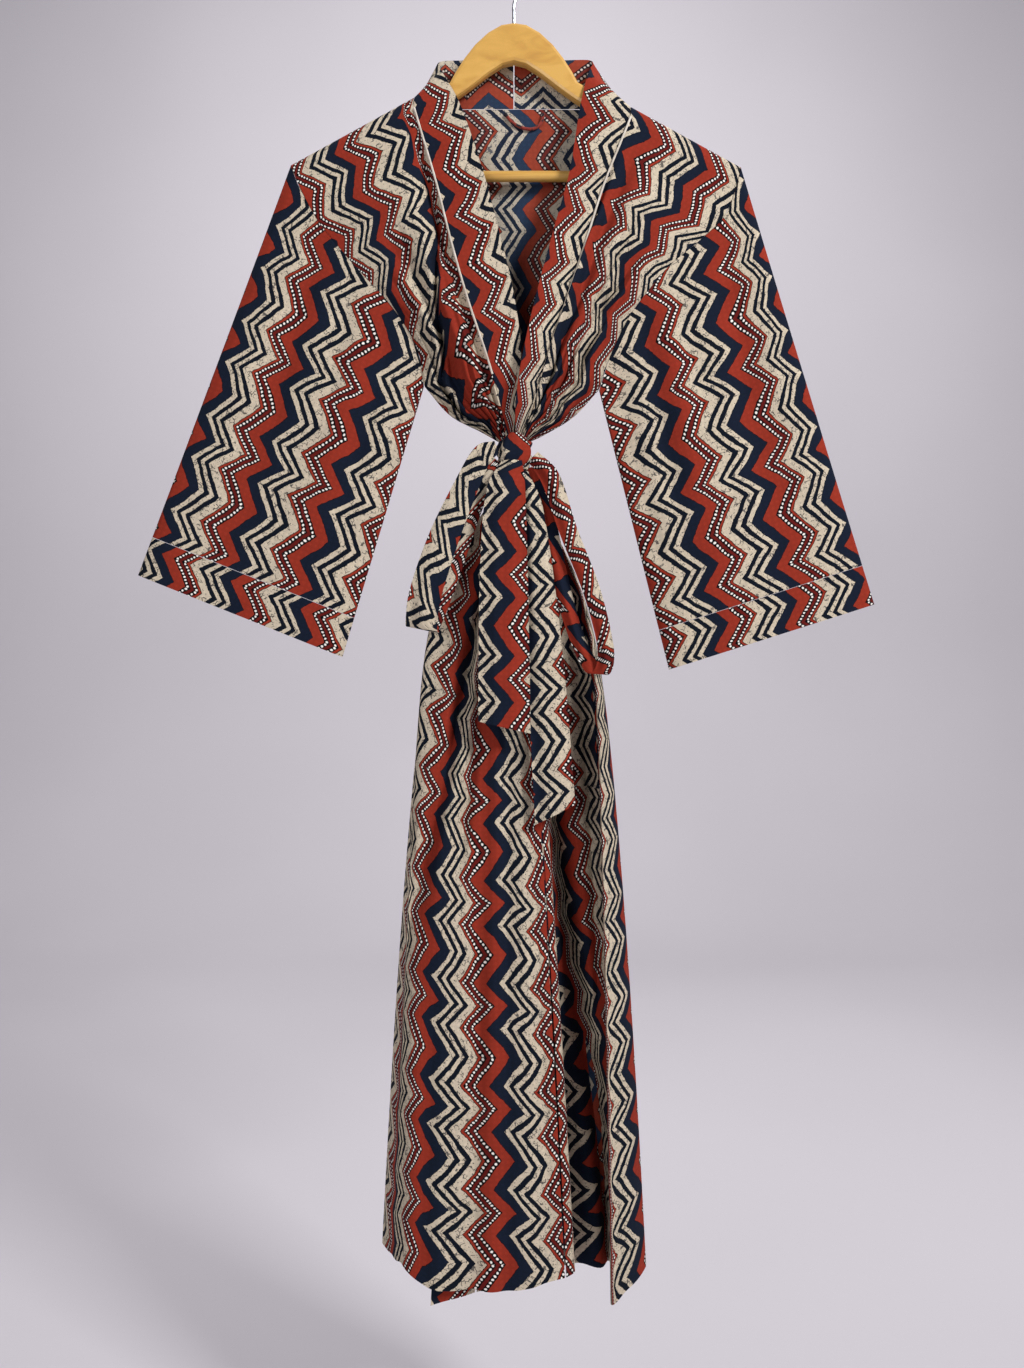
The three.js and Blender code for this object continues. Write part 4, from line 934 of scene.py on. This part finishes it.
cloth("belt_wrap", "belt_wrap", net, flat, -1, ring=True, inside=cotton_face)

rows = []
for v in np.linspace(0, 1, 40):
    size = math.sin(math.pi * (0.06 + 0.88 * v)) ** 0.6
    pucker = 1 + 0.07 * np.sin(3 * a + 5 * v) + 0.035 * np.sin(7 * a - 4 * v) * math.sin(math.pi * v)
    reach = size * pucker
    rows.append(point(15 * reach * np.cos(a) + 1, -30.3 + 8 * reach * np.sin(a), -502 - 38 * v))
net = np.array(rows)
turned = (np.arange(97)[None, :] - 72) / 96
drop = np.linspace(0, 1, 40)[:, None]
flat = np.stack(np.broadcast_arrays(68 - REPEAT * turned + 4 * drop, -44 * drop), -1)
cloth("belt_knot", "belt_knot", net, flat, -1, ring=True, inside=cotton_face)


def bow_loop(name, table, front, rear, crease):
    """front and rear: print at the middle of the strip, and the way it runs across."""
    last = len(table) - 1
    v = np.linspace(0, last, 150)
    x, y, z, w, slope = np.moveaxis(along(table, v), -1, 0)
    slope = np.radians(slope)
    u = np.linspace(0, 1, 15)
    side = point(np.cos(slope), 0, np.sin(slope)) * w[:, None]
    net = point(x, y, z)[:, None] + side[:, None] * (u - 0.5)[None, :, None]
    net[..., 1] += 2.2 * np.cos(2 * np.pi * u) + crease * np.sin(3 * np.pi * u) * np.sin(1.7 * v)[:, None]
    turn = smooth(5.0, 7.0, v)[:, None]
    middle = front[0] + (rear[0] - front[0]) * turn
    way = front[1] + (rear[1] - front[1]) * turn
    across = middle + way * (u - 0.5)[None, :] * w[:, None] * 1.15
    flat = np.stack([across, -lengths(net)], axis=-1)
    length = float(np.linalg.norm(np.diff(point(x, y, z), axis=0), axis=-1).sum()) / 1000
    cloth(name, name, net, flat, -1, inside=cotton_face)


def belt_tail(name, table, start, way):
    v = np.linspace(0, 1, 100)
    u = np.linspace(0, 1, 25)
    x, y, z, w, slant = np.moveaxis(along(table, v), -1, 0)
    crease = 0.6 * np.sin(5 * np.pi * u) * smooth(0, 0.3, v)[:, None]
    net = point(x[:, None] + (2 * u - 1)[None, :] * w[:, None] / 2,
                y[:, None] + 2.2 * np.cos(2 * np.pi * u) + crease,
                z[:, None] + slant[:, None] * (u - 0.5))
    across = start + way * u[None, :] * w[:, None]
    flat = np.stack([across, 15.5 - lengths(net)], axis=-1)
    cloth(name, name, net, flat, -1, inside=cotton_face)


bow_loop("bow_left", LOOP_LEFT, (22, -1), (36, 1.2), 1.2)
bow_loop("bow_right", LOOP_RIGHT, (52, -1), (70, 1), 1.0)
belt_tail("tail_front", TAIL_FRONT, 25.0, -1)
belt_tail("tail_rear", TAIL_REAR, 8.0, 1)

# Studio: a pale floor that runs up into a plain backdrop, soft light from the front, and the
# camera level with the middle of the robe, as in the photograph.
stage_mesh = bpy.data.meshes.new("studio_sweep")
bend = [(2.4 + 1.2 * math.sin(q), -0.42 - 1.2 * math.cos(q)) for q in np.linspace(0.1, math.pi / 2, 12)]
profile = [(-3.0, -1.62), (2.4, -1.62)] + bend + [(3.6, 3.2)]
corners = [(side * 5.0, y, z) for y, z in profile for side in (-1, 1)]
strips = [(2 * i, 2 * i + 1, 2 * i + 3, 2 * i + 2) for i in range(len(profile) - 1)]
stage_mesh.from_pydata(corners, [], strips)
stage_mesh.shade_smooth()
sweep = bpy.data.objects.new("studio_sweep", stage_mesh)
bpy.context.collection.objects.link(sweep)
paint, tree, surface = new_material("matt_backdrop_paint", Roughness=0.95)
place = add(tree, "ShaderNodeTexCoord").outputs["Object"]
cloud = add(tree, "ShaderNodeTexNoise", {"Vector": place, "Scale": 0.7, "Detail": 2.0})
wall = add(tree, "ShaderNodeValToRGB", {0: cloud.outputs[0]})
set_ramp(wall, [(0.3, linear("#C6C1C8")), (0.7, linear("#CEC9D0"))])
tree.links.new(wall.outputs[0], surface.inputs["Base Color"])
stage_mesh.materials.append(paint)

world = bpy.data.worlds.new("pale_room")
world.use_nodes = True
world.node_tree.nodes["Background"].inputs[0].default_value = linear("#E9E7EE")
world.node_tree.nodes["Background"].inputs[1].default_value = 0.2
bpy.context.scene.world = world


def soft_light(name, place, target, size, power):
    lamp = bpy.data.lights.new(name, "AREA")
    lamp.shape, lamp.size, lamp.energy = "SQUARE", size, power
    holder = bpy.data.objects.new(name, lamp)
    holder.location = place
    direction = np.array(target) - np.array(place)
    yaw = math.atan2(direction[0], direction[1])
    pitch = math.atan2(direction[2], math.hypot(direction[0], direction[1]))
    holder.rotation_euler = (math.pi / 2 + pitch, 0, -yaw)
    bpy.context.collection.objects.link(holder)


soft_light("key", (1.9, -2.0, 0.9), (0, 0, -0.7), 0.7, 82)
soft_light("fill", (-1.6, -2.9, -0.3), (0, 0, -0.8), 1.6, 27)
soft_light("backdrop_light", (0, 0.9, 1.7), (0, 3.4, -0.6), 2.6, 84)

view_data = bpy.data.cameras.new("photograph_view")
view_data.sensor_width, view_data.lens = 36.0, 30.26
view_data.clip_start, view_data.clip_end = 0.05, 30.0
bpy.context.scene.view_settings.view_transform = "Standard"
camera = bpy.data.objects.new("photograph_view", view_data)
camera.location = (-0.002, -1.185, -0.754)
camera.rotation_euler = (math.pi / 2, 0, 0)
bpy.context.collection.objects.link(camera)
bpy.context.scene.camera = camera
